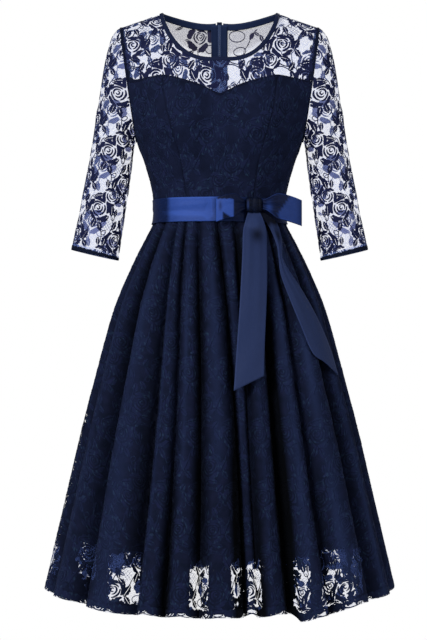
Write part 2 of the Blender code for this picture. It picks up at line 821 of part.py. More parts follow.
def add_bodice(maker):
    """The opaque bodice: a centre front, two side fronts and two backs."""
    half_gap = SEAM_GAP / 2
    rows = bodice_rows(
        FRONT, SWEETHEART, lambda z: -princess(z, -half_gap), lambda z: princess(z, -half_gap), 11, 10
    )
    maker.grid("bodice_front", rows, "bodice", BODICE_WALL)
    for arm, word in ((LEFT, "left"), (RIGHT, "right")):

        def seam(z, arm=arm):
            return arm * princess(z, half_gap)

        def side_line(z, arm=arm):
            return arm * torso_edge(z)

        def centre_back(_, arm=arm):
            return arm * SEAM_GAP

        rows = bodice_rows(FRONT, SWEETHEART, seam, side_line, 8, 10)
        maker.grid(f"bodice_side_{word}", rows, "bodice", BODICE_WALL)
        rows = bodice_rows(BACK, BACK_EDGE, centre_back, side_line, 10, 9)
        maker.grid(f"bodice_back_{word}", rows, "bodice", BODICE_WALL)


def add_sleeves(maker):
    """Two lace sleeves to below the elbow, each a front half and a back half."""
    cuff, cap = 0.0, SLEEVE_LENGTH
    turns, alongs = SLEEVE_TURNS, spread(13)
    outline = [(t * SLEEVE_HALF_GIRTH, cuff) for t in turns]
    outline += [(SLEEVE_HALF_GIRTH, mix(cuff, cap, a)) for a in alongs[1:]]
    outline += [(t * SLEEVE_HALF_GIRTH, cap) for t in reversed(turns[:-1])]
    outline += [(0.0, mix(cuff, cap, a)) for a in reversed(alongs[1:-1])]
    inner = [(t * SLEEVE_HALF_GIRTH, mix(cuff, cap, a)) for t in turns for a in alongs]
    for arm, word in ((LEFT, "left"), (RIGHT, "right")):
        for side, face in ((FRONT, "front"), (BACK, "back")):
            shift = 0.5 * LACE_REPEAT[0] * MM if side == BACK else 0.0

            def surface(u, v, arm=arm, side=side, shift=shift):
                turn = math.pi * (u - shift) / SLEEVE_HALF_GIRTH
                return sleeve_point(arm, side, turn, 1 - v / SLEEVE_LENGTH)

            moved = [(u + shift, v) for u, v in outline]
            spots = [(u + shift, v) for u, v in inner]
            maker.lace(f"sleeve_{word}_{face}", moved, spots, lace_gaps(moved), surface)


def skirt_places(first, last, stations):
    """The places of a panel's columns, from the ridge of one fold to the ridge of another."""
    places = [first + 0.5, first + 0.5 + SEAM_STATION]
    for fold in range(first, last + 1):
        for station in stations:
            place = fold + station
            if first + 0.5 + SEAM_STATION < place < last + 0.5 - SEAM_STATION:
                places.append(place)
    return [*places, last + 0.5 - SEAM_STATION, last + 0.5]


PANELS = (
    ("front", SIDE_SEAM_RIGHT, SIDE_SEAM_LEFT),
    ("back_left", SIDE_SEAM_LEFT, len(FOLDS) - 1),
    ("back_right", -1, SIDE_SEAM_RIGHT),
)


def add_skirt_panel(maker, word, first, last):
    """One panel of the lace skirt, with the gaps of its sheer border cut through."""
    places = skirt_places(first, last, SKIRT_STATIONS)
    flats = [place_to_flat(place) for place in places]
    valleys = [place_to_flat(fold) for fold in range(first + 1, last + 1)]
    low = SKIRT_ROWS[-1]
    border = [(flats[0], low), (flats[-1], low), (flats[-1], LACE_BORDER[1]), (flats[0], LACE_BORDER[1])]

    def on_a_ridge(corners):
        left, right = min(p[0] for p in corners), max(p[0] for p in corners)
        return not any(left - VALLEY_MARGIN < valley < right + VALLEY_MARGIN for valley in valleys)

    def surface(u, z):
        at_start, at_end = abs(u - flats[0]) < 1e-6, abs(u - flats[-1]) < 1e-6
        nudge = SEAM_GAP / 2 * (at_start - at_end)
        level = z - SEAM_GAP / 2 if z > WAIST_SEAM - 1e-6 else z
        return skirt_point(flat_to_place(u), level, nudge=nudge)

    gaps = lace_gaps(border, keep=on_a_ridge)
    flat, faces = banded_sheet(flats, SKIRT_ROWS, gaps)
    maker.cloth(f"skirt_{word}", [surface(*p) for p in flat], faces, "lace", LACE_WALL)


def clear_of(column, gaps):
    """True if an upright line of the flat cloth runs clear of every gap."""
    return all(column < min(x for x, _ in gap) - 2 * MM or column > max(x for x, _ in gap) + 2 * MM
               for gap in gaps)


def banded_sheet(flats, rows, gaps):
    """A sheet of even bands whose lowest band has gaps cut through."""
    base = rows[-2]
    band = [(u, rows[-1]) for u in flats] + [(u, base) for u in reversed(flats)]
    creases = [(k, len(band) - 1 - k) for k in range(1, len(flats) - 1) if clear_of(flats[k], gaps)]
    points, faces = cut_sheet(band, [], gaps, creases)
    near = [k for k, p in enumerate(points) if abs(p[1] - base) < 0.01 * MM]
    below = sorted(near, key=lambda k: points[k][0])
    for z in reversed(rows[:-2]):
        above = list(range(len(points), len(points) + len(flats)))
        points += [Vector((u, z)) for u in flats]
        for k in range(len(flats) - 1):
            faces.append((below[k], below[k + 1], above[k + 1], above[k]))
        below = above
    return points, faces


def add_lining_panel(maker, word, first, last):
    """One panel of the shorter opaque lining that hangs inside the lace."""
    places = skirt_places(first, last, LINING_STATIONS)
    rows = []
    for z in reversed(LINING_ROWS):
        loose = 1 - math.exp(-fall(z) / LINING_INSET_DROP)
        inset = mix(LINING_INSET_WAIST, LINING_INSET_HEM, loose)
        share = mix(1.0, LINING_FOLD_SHARE, loose)
        level = z - SEAM_GAP if z == WAIST_SEAM else z
        row = []
        for k, place in enumerate(places):
            nudge = SEAM_GAP / 2 * ((k == 0) - (k == len(places) - 1))
            row.append(skirt_point(place, level, share, inset, nudge))
        rows.append(row)
    maker.grid(f"lining_{word}", rows, "lining", LINING_WALL)


def add_sash(maker):
    """The ribbon round the waist."""
    rows = []
    out = BODICE_WALL / 2 + TRIM_GAP + RIBBON_WALL / 2
    for z in SASH_ROWS:
        row = []
        for k in range(56):
            bearing = math.tau * k / 56
            wide, deep = waist_shell(bearing, z)
            row.append(Vector(((wide + out) * math.sin(bearing), -(deep + out) * math.cos(bearing), z)))
        rows.append(row)
    maker.grid("sash", rows, "ribbon", RIBBON_WALL, closed=True)


def knot_centre():
    """The knot's middle, just in front of the sash."""
    out = BODICE_WALL / 2 + TRIM_GAP + RIBBON_WALL + KNOT_HALF_DEPTH - KNOT_SEAT
    return Vector((KNOT_X, -front_depth(KNOT_X - KNOT_HALF_WIDTH, KNOT_Z) - out, KNOT_Z))


def add_knot(maker):
    """The knot: ribbon drawn tight round the loops' roots, rounder in its middle."""
    centre = knot_centre()
    work = bmesh.new()
    rings = []
    for across, size in ((-1.0, 0.80), (-0.72, 0.97), (0.0, 1.0), (0.72, 0.96), (1.0, 0.78)):
        ring = []
        for k in range(16):
            angle = math.tau * k / 16
            y = math.copysign(abs(math.cos(angle)) ** 0.7, math.cos(angle)) * KNOT_HALF_DEPTH * size
            z = math.copysign(abs(math.sin(angle)) ** 0.7, math.sin(angle)) * KNOT_HALF_HEIGHT * size
            ring.append(work.verts.new(centre + Vector((across * KNOT_HALF_WIDTH, y, z))))
        rings.append(ring)
    for left, right in zip(rings, rings[1:]):
        for k in range(16):
            d = (k + 1) % 16
            work.faces.new((left[k], left[d], right[d], right[k]))
    work.faces.new(rings[0])
    work.faces.new(rings[-1])
    bmesh.ops.recalc_face_normals(work, faces=work.faces[:])
    mesh = bpy.data.meshes.new("bow_knot")
    work.to_mesh(mesh)
    work.free()
    mesh.shade_smooth()
    maker.add_mesh("bow_knot", mesh, "ribbon")


def add_loop(maker, name, way, loop):
    """A loop of the bow, from behind the knot out to its bend and back in front."""
    centre = knot_centre()
    root = centre + Vector((way * (KNOT_HALF_WIDTH + SEAM_GAP + RIBBON_WALL / 2), 0, 0))
    rows = []
    for share in spread(17):
        angle = math.tau * share
        reach = (1 - math.cos(angle)) / 2
        bulge = loop.front_bulge if share > 0.5 else loop.back_bulge
        away = LOOP_PINCH * math.copysign(1, share - 0.5) * (1 - reach) - math.sin(angle) * bulge
        if share == 0.5:
            away = 0.0
        height = mix(LOOP_NECK, loop.half_height, eased(reach / 0.62))
        row = []
        for across in (-1.0, -0.4, 0.4, 1.0):
            x = way * loop.reach * reach
            y = loop.forward * reach - away - 0.0012 * (1 - across * across) * reach
            z = -loop.droop * reach * reach + across * height
            row.append(root + Vector((x, y, z)))
        rows.append(row)
    maker.grid(name, rows, "ribbon", RIBBON_WALL)


def add_tail(maker, name, steps):
    """A hanging end of the ribbon, lying on the skirt's ridges, its free end cut aslant."""
    rows = []
    levels = spread(len(steps) * 2 - 1, 0, len(steps) - 1)
    knot_y = knot_centre().y
    for level in levels:
        low = min(int(level), len(steps) - 2)
        share = level - low
        z, x, width, tilt = (mix(a, b, share) for a, b in zip(steps[low], steps[low + 1]))
        row = []
        for across in (-0.5, -0.17, 0.17, 0.5):
            px = x + across * width
            pz = z + across * tilt
            rest = -front_depth(px, pz) - TAIL_CLEARANCE - 0.0012 * math.cos(math.pi * across)
            near_knot = eased((steps[0].z - z) / 0.045)
            start = knot_y + 0.004 if name == "sash_tail_short" else knot_y
            row.append(Vector((px, mix(min(start, rest), rest, near_knot), pz)))
        rows.append(row)
    maker.grid(name, rows, "ribbon", RIBBON_WALL)


def back_frame(turn_from_edge):
    """A point on the centre back, with the way down the cloth and the way out of it."""
    _, edge = neck_beyond(math.pi * 0.9999, turn_from_edge)
    step = 1e-4
    here = arch_point(0, edge)
    down = (arch_point(0, edge + step) - here).normalized()
    out = Vector((1, 0, 0)).cross(down)
    return here, down, out if out.y > 0 else -out


def add_zip_tapes(maker):
    """Two tapes inside the back, from the neck down to the waist."""
    _, top = neck_beyond(math.pi * 0.9999, 0.0)
    start = flat_height(BACK, 0.0, top)
    for arm, word in ((LEFT, "left"), (RIGHT, "right")):
        rows = []
        for v in spread(17, start, TAPE_END):
            row = []
            for x in (TAPE_INNER, TAPE_OUTER / 2, TAPE_OUTER):
                here = torso_point(BACK, x, v)
                down = (torso_point(BACK, x, v - 1e-4) - here).normalized()
                out = Vector((1, 0, 0)).cross(down)
                out = out if out.y > 0 else -out
                point = here - out * TAPE_INSET
                row.append(Vector((arm * point.x, point.y, point.z)))
            rows.append(row)
        maker.grid(f"zip_tape_{word}", rows, "tape", TAPE_WALL)


def zip_frame():
    """The slider's frame: X across, Y down the cloth and Z out of it, its origin on the cloth."""
    here, down, out = back_frame(SLIDER_SIZE[1] / 2)
    across = down.cross(out)
    frame = Matrix((across, down, out)).transposed().to_4x4()
    frame.translation = here
    return frame


def finish_solid(maker, name, work, finish):
    """Turns a closed bmesh into a piece."""
    bmesh.ops.recalc_face_normals(work, faces=work.faces[:])
    mesh = bpy.data.meshes.new(name)
    work.to_mesh(mesh)
    work.free()
    return maker.add_mesh(name, mesh, finish)


def guide(name, work, place):
    """Turns a closed bmesh into a hidden helper that a Boolean joins to a piece."""
    bmesh.ops.recalc_face_normals(work, faces=work.faces[:])
    mesh = bpy.data.meshes.new(name)
    work.to_mesh(mesh)
    work.free()
    helper = bpy.data.objects.new(name, mesh)
    helper.matrix_world = place
    helper.hide_render = True
    helper.display_type = "WIRE"
    guides = bpy.data.collections.get("guides") or bpy.data.collections.new("guides")
    if guides.name not in bpy.context.scene.collection.children:
        bpy.context.scene.collection.children.link(guides)
    guides.objects.link(helper)
    return helper


def join(piece, helper):
    """Fuses a helper to a piece."""
    union = piece.modifiers.new(helper.name, "BOOLEAN")
    union.operation = "UNION"
    union.object = helper


def add_slider(maker):
    """The zip's slider, with an ear on each side of the pull's barrel."""
    wide, tall, thick = SLIDER_SIZE
    place = zip_frame()
    base = -TAPE_INSET + TAPE_WALL / 2 + SEAM_GAP
    block = bmesh.new()
    middle = Matrix.Translation((0, 0, base + thick / 2))
    bmesh.ops.create_cube(block, size=1.0, matrix=middle @ Matrix.Diagonal((wide, tall, thick, 1)))
    slider = finish_solid(maker, "zip_slider", block, "metal")
    slider.matrix_world = place
    soften = slider.modifiers.new("edges", "BEVEL")
    soften.width = SLIDER_EDGE
    soften.segments = 1
    ears = bmesh.new()
    deep, long, tall = EAR_SIZE
    for way in (LEFT, RIGHT):
        middle = Matrix.Translation((way * EAR_X, 0, base + thick + tall / 2 - EAR_ROOT))
        bmesh.ops.create_cube(ears, size=1.0, matrix=middle @ Matrix.Diagonal((deep, long, tall, 1)))
    join(slider, guide("slider_ears_guide", ears, place))


def add_pull(maker):
    """The pull tab, hinged on a barrel between the slider's ears, its object on the hinge."""
    frame = zip_frame()
    hinge = frame.copy()
    hinge.translation = frame @ Vector((0, 0, HINGE_LIFT))
    radius, long = PULL_BARREL
    work = bmesh.new()
    bmesh.ops.create_cone(
        work,
        cap_ends=True,
        segments=12,
        radius1=radius,
        radius2=radius,
        depth=long,
        matrix=Matrix.Rotation(math.pi / 2, 4, "Y"),
    )
    barrel = finish_solid(maker, "zip_pull", work, "metal")
    barrel.matrix_world = hinge
    join(barrel, tab_guide(hinge))


def tab_guide(hinge):
    """The flat tab that the barrel is joined to: narrow at the hinge, wider to its round end."""
    work = bmesh.new()
    half = PULL_THICKNESS / 2
    round_y = PULL_LENGTH - PULL_WIDTH / 2
    side = [(PULL_NECK, 0.0), (PULL_NECK, PULL_SHOULDER / 2), (PULL_WIDTH / 2, PULL_SHOULDER)]
    for angle in spread(5, 0.0, math.pi / 2)[:-1]:
        side.append((PULL_WIDTH / 2 * math.cos(angle), round_y + PULL_WIDTH / 2 * math.sin(angle)))
    loop = [*side, (0.0, PULL_LENGTH), *[(-x, y) for x, y in reversed(side)]]
    low = [work.verts.new((x, y, -half)) for x, y in loop]
    high = [work.verts.new((x, y, half)) for x, y in loop]
    work.faces.new(low)
    work.faces.new(high)
    for k in range(len(loop)):
        d = (k + 1) % len(loop)
        work.faces.new((low[k], low[d], high[d], high[k]))
    return guide("pull_tab_guide", work, hinge)


def main():
    """Makes every piece of the dress."""
    maker = Maker()
    add_yoke_front(maker)
    add_yoke_back(maker, LEFT, "yoke_back_left")
    add_yoke_back(maker, RIGHT, "yoke_back_right")
    add_binding(maker)
    add_bodice(maker)
    add_sleeves(maker)
    for word, first, last in PANELS:
        add_skirt_panel(maker, word, first, last)
        add_lining_panel(maker, word, first, last)
    add_sash(maker)
    add_knot(maker)
    add_loop(maker, "bow_loop_left", LEFT, LOOP_LEFT)
    add_loop(maker, "bow_loop_right", RIGHT, LOOP_RIGHT)
    add_tail(maker, "sash_tail_long", TAIL_LONG)
    add_tail(maker, "sash_tail_short", TAIL_SHORT)
    add_zip_tapes(maker)
    add_slider(maker)
    add_pull(maker)


main()
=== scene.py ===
"""Looks of a worn cocktail dress: lace, linings, ribbon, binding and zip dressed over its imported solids.

Lengths are metres unless a name says otherwise. +Z is up, +X is the wearer's left, the front faces -Y
and the origin lies between the high points of the shoulders.
"""

from __future__ import annotations

import json
import logging
import math
from contextlib import contextmanager
from dataclasses import dataclass
from enum import Enum
from math import pi, tau
from typing import Callable, Iterator, NamedTuple, Sequence

import bmesh
import bpy
import numpy as np
from bpy.types import ID, Material, Mesh, NodeSocket, NodeTree, Object
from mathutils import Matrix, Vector
from numpy import ndarray as Array

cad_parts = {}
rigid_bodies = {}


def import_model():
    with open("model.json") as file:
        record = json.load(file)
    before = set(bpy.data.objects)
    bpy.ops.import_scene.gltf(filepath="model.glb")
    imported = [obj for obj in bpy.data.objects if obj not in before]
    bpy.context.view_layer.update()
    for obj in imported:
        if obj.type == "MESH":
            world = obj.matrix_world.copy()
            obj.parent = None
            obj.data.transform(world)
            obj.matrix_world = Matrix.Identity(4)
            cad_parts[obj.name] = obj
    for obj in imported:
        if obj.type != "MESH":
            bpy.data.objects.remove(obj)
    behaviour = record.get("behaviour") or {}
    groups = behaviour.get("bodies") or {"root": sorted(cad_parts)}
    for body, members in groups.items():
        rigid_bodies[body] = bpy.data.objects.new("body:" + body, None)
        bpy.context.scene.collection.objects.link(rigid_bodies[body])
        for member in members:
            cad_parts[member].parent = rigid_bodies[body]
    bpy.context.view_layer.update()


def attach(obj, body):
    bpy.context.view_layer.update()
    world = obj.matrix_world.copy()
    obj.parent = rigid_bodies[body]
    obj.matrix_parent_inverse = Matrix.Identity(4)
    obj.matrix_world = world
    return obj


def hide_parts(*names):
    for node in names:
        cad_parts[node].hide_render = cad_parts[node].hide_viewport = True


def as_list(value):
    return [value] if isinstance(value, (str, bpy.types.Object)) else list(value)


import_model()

MM = 0.001
BODY = "dress"
FLAT_UV = "flat"
CLOSE = "close"
# the mark where a net's threads are painted darker as shade, and drawn thicker by its finish's share
SHADED_THREADS = "dense"
# the mark of a ribbon's painted highlight and painted shade
GLEAM = "gleam"
# the mark of painted shade between the skirt's folds; below 0 it marks a painted highlight on a ridge
PAINTED_SHADE = "hollow"
UV_SCALE = 0.25
UV_CENTRE = 2.0
log = logging.getLogger("dress")


class Side(Enum):
    """The two faces of the dress, by the sign of their Y."""

    FRONT = -1
    BACK = 1


class Arm(Enum):
    """The wearer's arms, by the sign of their X."""

    LEFT = 1
    RIGHT = -1


# ---------------------------------------------------------------- numbers and tables


def spread(count: int, low: float = 0.0, high: float = 1.0) -> Array:
    """Evenly spaced values from low to high."""
    return np.linspace(low, high, count)


def eased(value: Array | float) -> Array:
    """0 below 0, 1 above 1, and a soft rise between."""
    value = np.clip(value, 0.0, 1.0)
    return value * value * (3 - 2 * value)


def mix(a: Array | float, b: Array | float, share: Array | float) -> Array:
    """The value a given share of the way from a to b."""
    return a + (b - a) * share


def stack(x: Array, y: Array, z: Array) -> Array:
    """Joins three coordinate arrays into points."""
    return np.stack(np.broadcast_arrays(x, y, z), axis=-1).astype(float)


def unit(vectors: Array) -> Array:
    """The same directions with length 1."""
    return vectors / np.linalg.norm(vectors, axis=-1, keepdims=True)


def gaps(points: Array, axis: int = 0) -> Array:
    """Distances between neighbouring points along one axis of a grid."""
    return np.linalg.norm(np.diff(points, axis=axis), axis=-1)


def bump(away: Array, width: Array | float, power: int = 2) -> Array:
    """1 in the middle, falling softly to 0 on both sides."""
    return np.exp(-((away / width) ** power))


def swung(value: Array, power: float) -> Array:
    """A power of a signed value that keeps its sign."""
    return np.sign(value) * np.abs(value) ** power


def table(kind: type, *rows: Sequence[float]) -> tuple:
    """Names the numbers of each row."""
    return tuple(kind(*row) for row in rows)


class Profile:
    """A smooth curve through one column of a table, read at values of the table's first column."""

    def __init__(self, rows: Sequence[NamedTuple], name: str) -> None:
        """Takes the table's rows and the column's name."""
        keys = np.array([row[0] for row in rows], float)
        values = np.array([getattr(row, name) for row in rows], float)
        if keys[-1] < keys[0]:
            keys, values = keys[::-1], values[::-1]
        low = np.maximum(np.arange(len(keys)) - 1, 0)
        high = np.minimum(np.arange(len(keys)) + 1, len(keys) - 1)
        self.keys = keys
        self.values = values
        self.slopes = (values[high] - values[low]) / (keys[high] - keys[low])

    def __call__(self, at: Array | float) -> Array:
        """Reads the curve.

        Args:
            at: values of the first column.

        Returns:
            The curve there, held at its end values beyond the table.
        """
        at = np.clip(np.asarray(at, float), self.keys[0], self.keys[-1])
        i = np.clip(np.searchsorted(self.keys, at, side="right") - 1, 0, len(self.keys) - 2)
        span = self.keys[i + 1] - self.keys[i]
        s = (at - self.keys[i]) / span
        start = (1 + 2 * s) * (1 - s) ** 2 * self.values[i] + s * (1 - s) ** 2 * span * self.slopes[i]
        end = s * s * (3 - 2 * s) * self.values[i + 1] + s * s * (s - 1) * span * self.slopes[i + 1]
        return start + end


def read(rows: Sequence[NamedTuple], at: Array | float, *names: str) -> list[Array]:
    """Reads several columns of a table at the same values."""
    return [Profile(rows, name)(at) for name in names]


class Level(NamedTuple):
    """A ring of the dress: its half width, and its depth in front of and behind the middle."""

    z: float
    half_width: float
    front: float
    back: float


class EdgePoint(NamedTuple):
    """A point of a seam line across the front or the back."""

    x: float
    z: float


class SeamPoint(NamedTuple):
    """Where an upright seam runs at one level."""

    z: float
    x: float


class Fold(NamedTuple):
    """A valley of the skirt: its bearing at the waist and at the hem, and its depth at the hem."""

    waist_deg: float
    hem_deg: float
    depth: float


class SleeveRing(NamedTuple):
    """A ring of the sleeve: its outer end, its underarm end, its half depth and its swing forward."""

    along: float
    outer_x: float
    outer_z: float
    under_x: float
    under_z: float
    depth: float
    forward: float


class RibbonStep(NamedTuple):
    """A cross line of a hanging ribbon end: its level, its middle, its width and its slant."""

    z: float
    x: float
    width: float
    tilt: float


class Crease(NamedTuple):
    """A soft trough or ridge of a cloth: where it runs in flat lengths, how wide and how deep."""

    u: float
    v: float
    length: float
    width: float
    tilt_deg: float
    depth: float


WAIST_SEAM = -0.3435
SASH_TOP = -0.3225
SASH_BOTTOM = -0.363
SKIRT_HEM = -0.99
LINING_HEM = -0.908
ARMHOLE_FOOT = -0.1246
LACE_LIFT = 0.15 * MM
REVERSE_LIFT = -0.45 * MM

TORSO_LEVELS = table(
    Level,
    (0.03, 0.168, 0.066, 0.07),
    (-0.06, 0.162, 0.078, 0.086),
    (-0.124, 0.1545, 0.091, 0.095),
    (-0.17, 0.148, 0.103, 0.098),
    (-0.221, 0.141, 0.105, 0.095),
    (-0.26, 0.1272, 0.1, 0.089),
    (-0.305, 0.115, 0.092, 0.083),
    (WAIST_SEAM, 0.1115, 0.0885, 0.0815),
)
SKIRT_LEVELS = table(
    Level,
    (WAIST_SEAM, 0.1115, 0.0885, 0.0815),
    (SASH_BOTTOM, 0.1145, 0.092, 0.087),
    (-0.392, 0.1295, 0.103, 0.101),
    (-0.4405, 0.1535, 0.121, 0.125),
    (-0.508, 0.1815, 0.143, 0.152),
    (-0.6006, 0.2075, 0.166, 0.178),
    (-0.719, 0.238, 0.191, 0.204),
    (-0.824, 0.262, 0.213, 0.227),
    (-0.939, 0.2885, 0.237, 0.251),
    (SKIRT_HEM, 0.3, 0.247, 0.262),
)
FOLDS = table(
    Fold,
    (-173, -173.5, 0.028), (-157, -154, 0.034), (-141, -138, 0.03), (-126, -122, 0.036),
    (-110, -106, 0.03), (-93, -91, 0.026), (-76, -75, 0.03), (-57, -53, 0.046),
    (-41, -29, 0.034), (-32, -18.5, 0.03), (-20.4, -7.2, 0.032), (-3.7, 8.2, 0.042),
    (12, 12.6, 0.034), (34, 24.4, 0.052), (44.5, 39.5, 0.036), (60, 60.5, 0.04),
    (77, 78, 0.03), (95, 95, 0.026), (111, 109, 0.034), (126, 124, 0.03),
    (141, 139, 0.036), (157, 156, 0.03), (173, 173.5, 0.028),
)
SWEETHEART = table(
    EdgePoint,
    (0, -0.153), (0.009, -0.1492), (0.0175, -0.1449), (0.032, -0.1375), (0.053, -0.1302),
    (0.075, -0.1235), (0.094, -0.1186), (0.107, -0.1191), (0.128, -0.1217), (0.156, ARMHOLE_FOOT),
)
BACK_EDGE = table(EdgePoint, (0, -0.137), (0.08, -0.1335), (0.156, ARMHOLE_FOOT))
PRINCESS = table(SeamPoint, (-0.118, 0.0965), (-0.186, 0.086), (-0.26, 0.065), (WAIST_SEAM, 0.053))
SLEEVE = table(
    SleeveRing,
    (0.00, 0.1688, -0.0245, 0.1434, -0.22, 0.0522, 0.000),
    (0.04, 0.1765, -0.03, 0.1458, -0.227, 0.0518, 0.000),
    (0.12, 0.186, -0.0445, 0.1475, -0.235, 0.0505, 0.000),
    (0.25, 0.1968, -0.086, 0.1495, -0.25, 0.0475, 0.001),
    (0.4, 0.206, -0.1447, 0.152, -0.272, 0.0445, 0.002),
    (0.58, 0.2175, -0.2205, 0.1568, -0.308, 0.042, 0.004),
    (0.79, 0.235, -0.3153, 0.1652, -0.365, 0.041, 0.007),
    (1.00, 0.2535, -0.407, 0.174, -0.425, 0.0405, 0.01),
)


def valley_share(place: Array) -> Array:
    """How near a place is to a fold's valley: 0 on a ridge, 1 in the valley."""
    return np.abs(2 * (place - np.floor(place)) - 1)


def top_edge(side: Side, x: Array) -> Array:
    """Level of the bodice's top edge."""
    return Profile(SWEETHEART if side is Side.FRONT else BACK_EDGE, "z")(np.abs(x))


# ---------------------------------------------------------------- forms


@dataclass(frozen=True)
class Torso:
    """The form that the yoke, the bodice, the binding and the zip follow."""

    base: float = -0.124
    underarm: float = -0.221
    neck_half_width: float = 0.0963
    shoulder_slope: float = 0.34
    neck_rise: float = 0.46
    neck_turn_front: float = 0.863
    neck_turn_back: float = 0.495
    neck_power_front: float = 2.65
    neck_power_back: float = 1.7
    armhole_middle: float = 0.1545
    armhole_lean: float = 0.0135
    armhole_depth: float = 0.052
    cup_x: float = 0.08
    cup_z: float = -0.186
    cup_rise: float = 0.026
    cup_width: float = 0.036
    cup_height: float = 0.042

    def ridge(self, x: Array) -> Array:
        """Height of the shoulder line over x, carried on across the neck."""
        out = np.abs(x) - self.neck_half_width
        return np.where(out > 0, -self.shoulder_slope * out, -self.neck_rise * out)

    def armhole_x(self, lift: Array) -> Array:
        """Half width at the armhole's edge, for a lift of -1 under the arm to 1 on the shoulder."""
        return self.armhole_middle + self.armhole_lean * lift

    def edge(self, z: Array) -> Array:
        """Half width of the torso, or of its armhole's edge, at a level."""
        lift = (z - self.base) / (self.base - self.underarm)
        return np.where(lift > -1, self.armhole_x(lift), Profile(TORSO_LEVELS, "half_width")(z))

    def foot_half_width(self) -> float:
        """Half width at the armholes' feet."""
        return float(self.edge(np.array(ARMHOLE_FOOT)))

    def depth(self, back: Array, x: Array, z: Array, lift: Array) -> Array:
        """How far the cloth lies from the middle plane, before the turn over the shoulder.

        Args:
            back: whether each point lies on the back.
            x: places across.
            z: levels.
            lift: -1 under the arm, 0 at the arch's base and 1 on the shoulder.

        Returns:
            Depths, all positive.
        """
        under = np.minimum(np.maximum(lift, -1.0), 0.0)
        half_width, front, rear = read(TORSO_LEVELS, z, "half_width", "front", "back")
        edge = np.where(lift > -1, self.armhole_x(lift), half_width)
        edge_depth = self.armhole_depth * np.sqrt(np.maximum(1 - under**2, 0.0))
        centre = np.where(back, rear, front)
        share = np.minimum(np.abs(x) / edge, 1.0)
        depth = edge_depth + (centre - edge_depth) * (1 - share**2) ** (1 / (1 + under**2))
        cups = sum(np.exp(-(((x - cup) / self.cup_width) ** 2) / 2) for cup in (-self.cup_x, self.cup_x))
        level = np.exp(-(((z - self.cup_z) / self.cup_height) ** 2) / 2)
        return depth + np.where(back, 0.0, self.cup_rise * cups * level * (1 - share**4))

    def arch(self, x: Array, turn: Array) -> Array:
        """Points of the shoulder arch.

        Args:
            x: places across.
            turn: 0 at the front base, pi at the back base.

        Returns:
            An array of points.
        """
        back = turn > pi / 2
        lift = np.sin(turn)
        z = self.base + lift * (self.ridge(x) - self.base)
        y = np.where(back, 1, -1) * self.depth(back, x, z, lift) * np.abs(np.cos(turn))
        return stack(x, y, z)

    def arch_length(self, side: Side, x: Array) -> Array:
        """Length of the cloth from the arch's base to the shoulder line."""
        rise = self.ridge(x) - self.base
        depth = self.depth(side is Side.BACK, x, self.base + 0.5 * rise, np.asarray(0.5))
        bend = ((rise - depth) / (rise + depth)) ** 2
        return pi / 4 * (rise + depth) * (1 + bend / 4)

    def point(self, side: Side, x: Array, flat: Array) -> Array:
        """Points of the front or back cloth at heights measured along the cloth.

        Args:
            side: front or back.
            x: places across.
            flat: heights along the cloth.

        Returns:
            An array of points.
        """
        x, flat = np.broadcast_arrays(np.asarray(x, float), np.asarray(flat, float))
        rise = flat - self.base
        turn = pi / 2 * np.clip(rise / self.arch_length(side, x), 0.0, 1.0)
        upper = self.arch(x, turn if side is Side.FRONT else pi - turn)
        lift = rise / (self.base - self.underarm)
        lower = stack(x, side.value * self.depth(side is Side.BACK, x, flat, lift), flat)
        return np.where((rise > 0)[..., None], upper, lower)

    def height(self, side: Side, x: Array, turn: Array) -> Array:
        """The height along the cloth that goes with a turn of the arch."""
        quarter = turn if side is Side.FRONT else pi - turn
        return self.base + self.arch_length(side, x) * quarter / (pi / 2)

    def height_of_level(self, side: Side, x: Array, z: Array) -> Array:
        """The height along the cloth of a level z."""
        lift = np.clip((z - self.base) / (self.ridge(x) - self.base), 0.0, 1.0)
        above = self.base + self.arch_length(side, x) * np.arcsin(lift) / (pi / 2)
        return np.where(z <= self.base, z, above)

    def neck(self, bearing: Array) -> tuple[Array, Array]:
        """The neck's edge as places of the arch.

        Args:
            bearing: 0 at centre front, pi at centre back.

        Returns:
            x and the turn of the arch.
        """
        back = np.abs(bearing) > pi / 2
        power = 2 / np.where(back, self.neck_power_back, self.neck_power_front)
        x = np.sign(bearing) * self.neck_half_width * np.abs(np.sin(bearing)) ** power
        dip = np.where(back, self.neck_turn_back, self.neck_turn_front) * np.abs(np.cos(bearing)) ** power
        return x, pi / 2 * (1 + np.where(back, 1, -1) * dip)

    def beyond_neck(self, bearing: Array, away: float) -> tuple[Array, Array]:
        """The (x, turn) that lies a given way along the cloth from the neck's edge.

        Args:
            bearing: places round the neck.
            away: the length along the cloth.

        Returns:
            x and the turn of the arch.
        """
        step = 1e-4
        x, turn = self.neck(bearing)
        along = self.arch(*self.neck(bearing + step)) - self.arch(*self.neck(bearing - step))
        by_x = (self.arch(x + step, turn) - self.arch(x - step, turn)) / (2 * step)
        by_turn = (self.arch(x, turn + step) - self.arch(x, turn - step)) / (2 * step)
        out = unit(np.cross(along, np.cross(by_x, by_turn)))
        away_from_neck = stack(x, -np.cos(turn) * self.neck_half_width, 0 * x)
        out *= np.where((out * away_from_neck).sum(-1) < 0, -1.0, 1.0)[..., None]
        pull = out * away
        xx, xt, tt = (by_x**2).sum(-1), (by_x * by_turn).sum(-1), (by_turn**2).sum(-1)
        px, pt = (pull * by_x).sum(-1), (pull * by_turn).sum(-1)
        det = xx * tt - xt * xt
        return x + (px * tt - pt * xt) / det, turn + (pt * xx - px * xt) / det

    def round_neck(self, bearing: Array, away: float) -> Array:
        """Points a given way along the cloth from the neck's edge."""
        return self.arch(*self.beyond_neck(bearing, away))


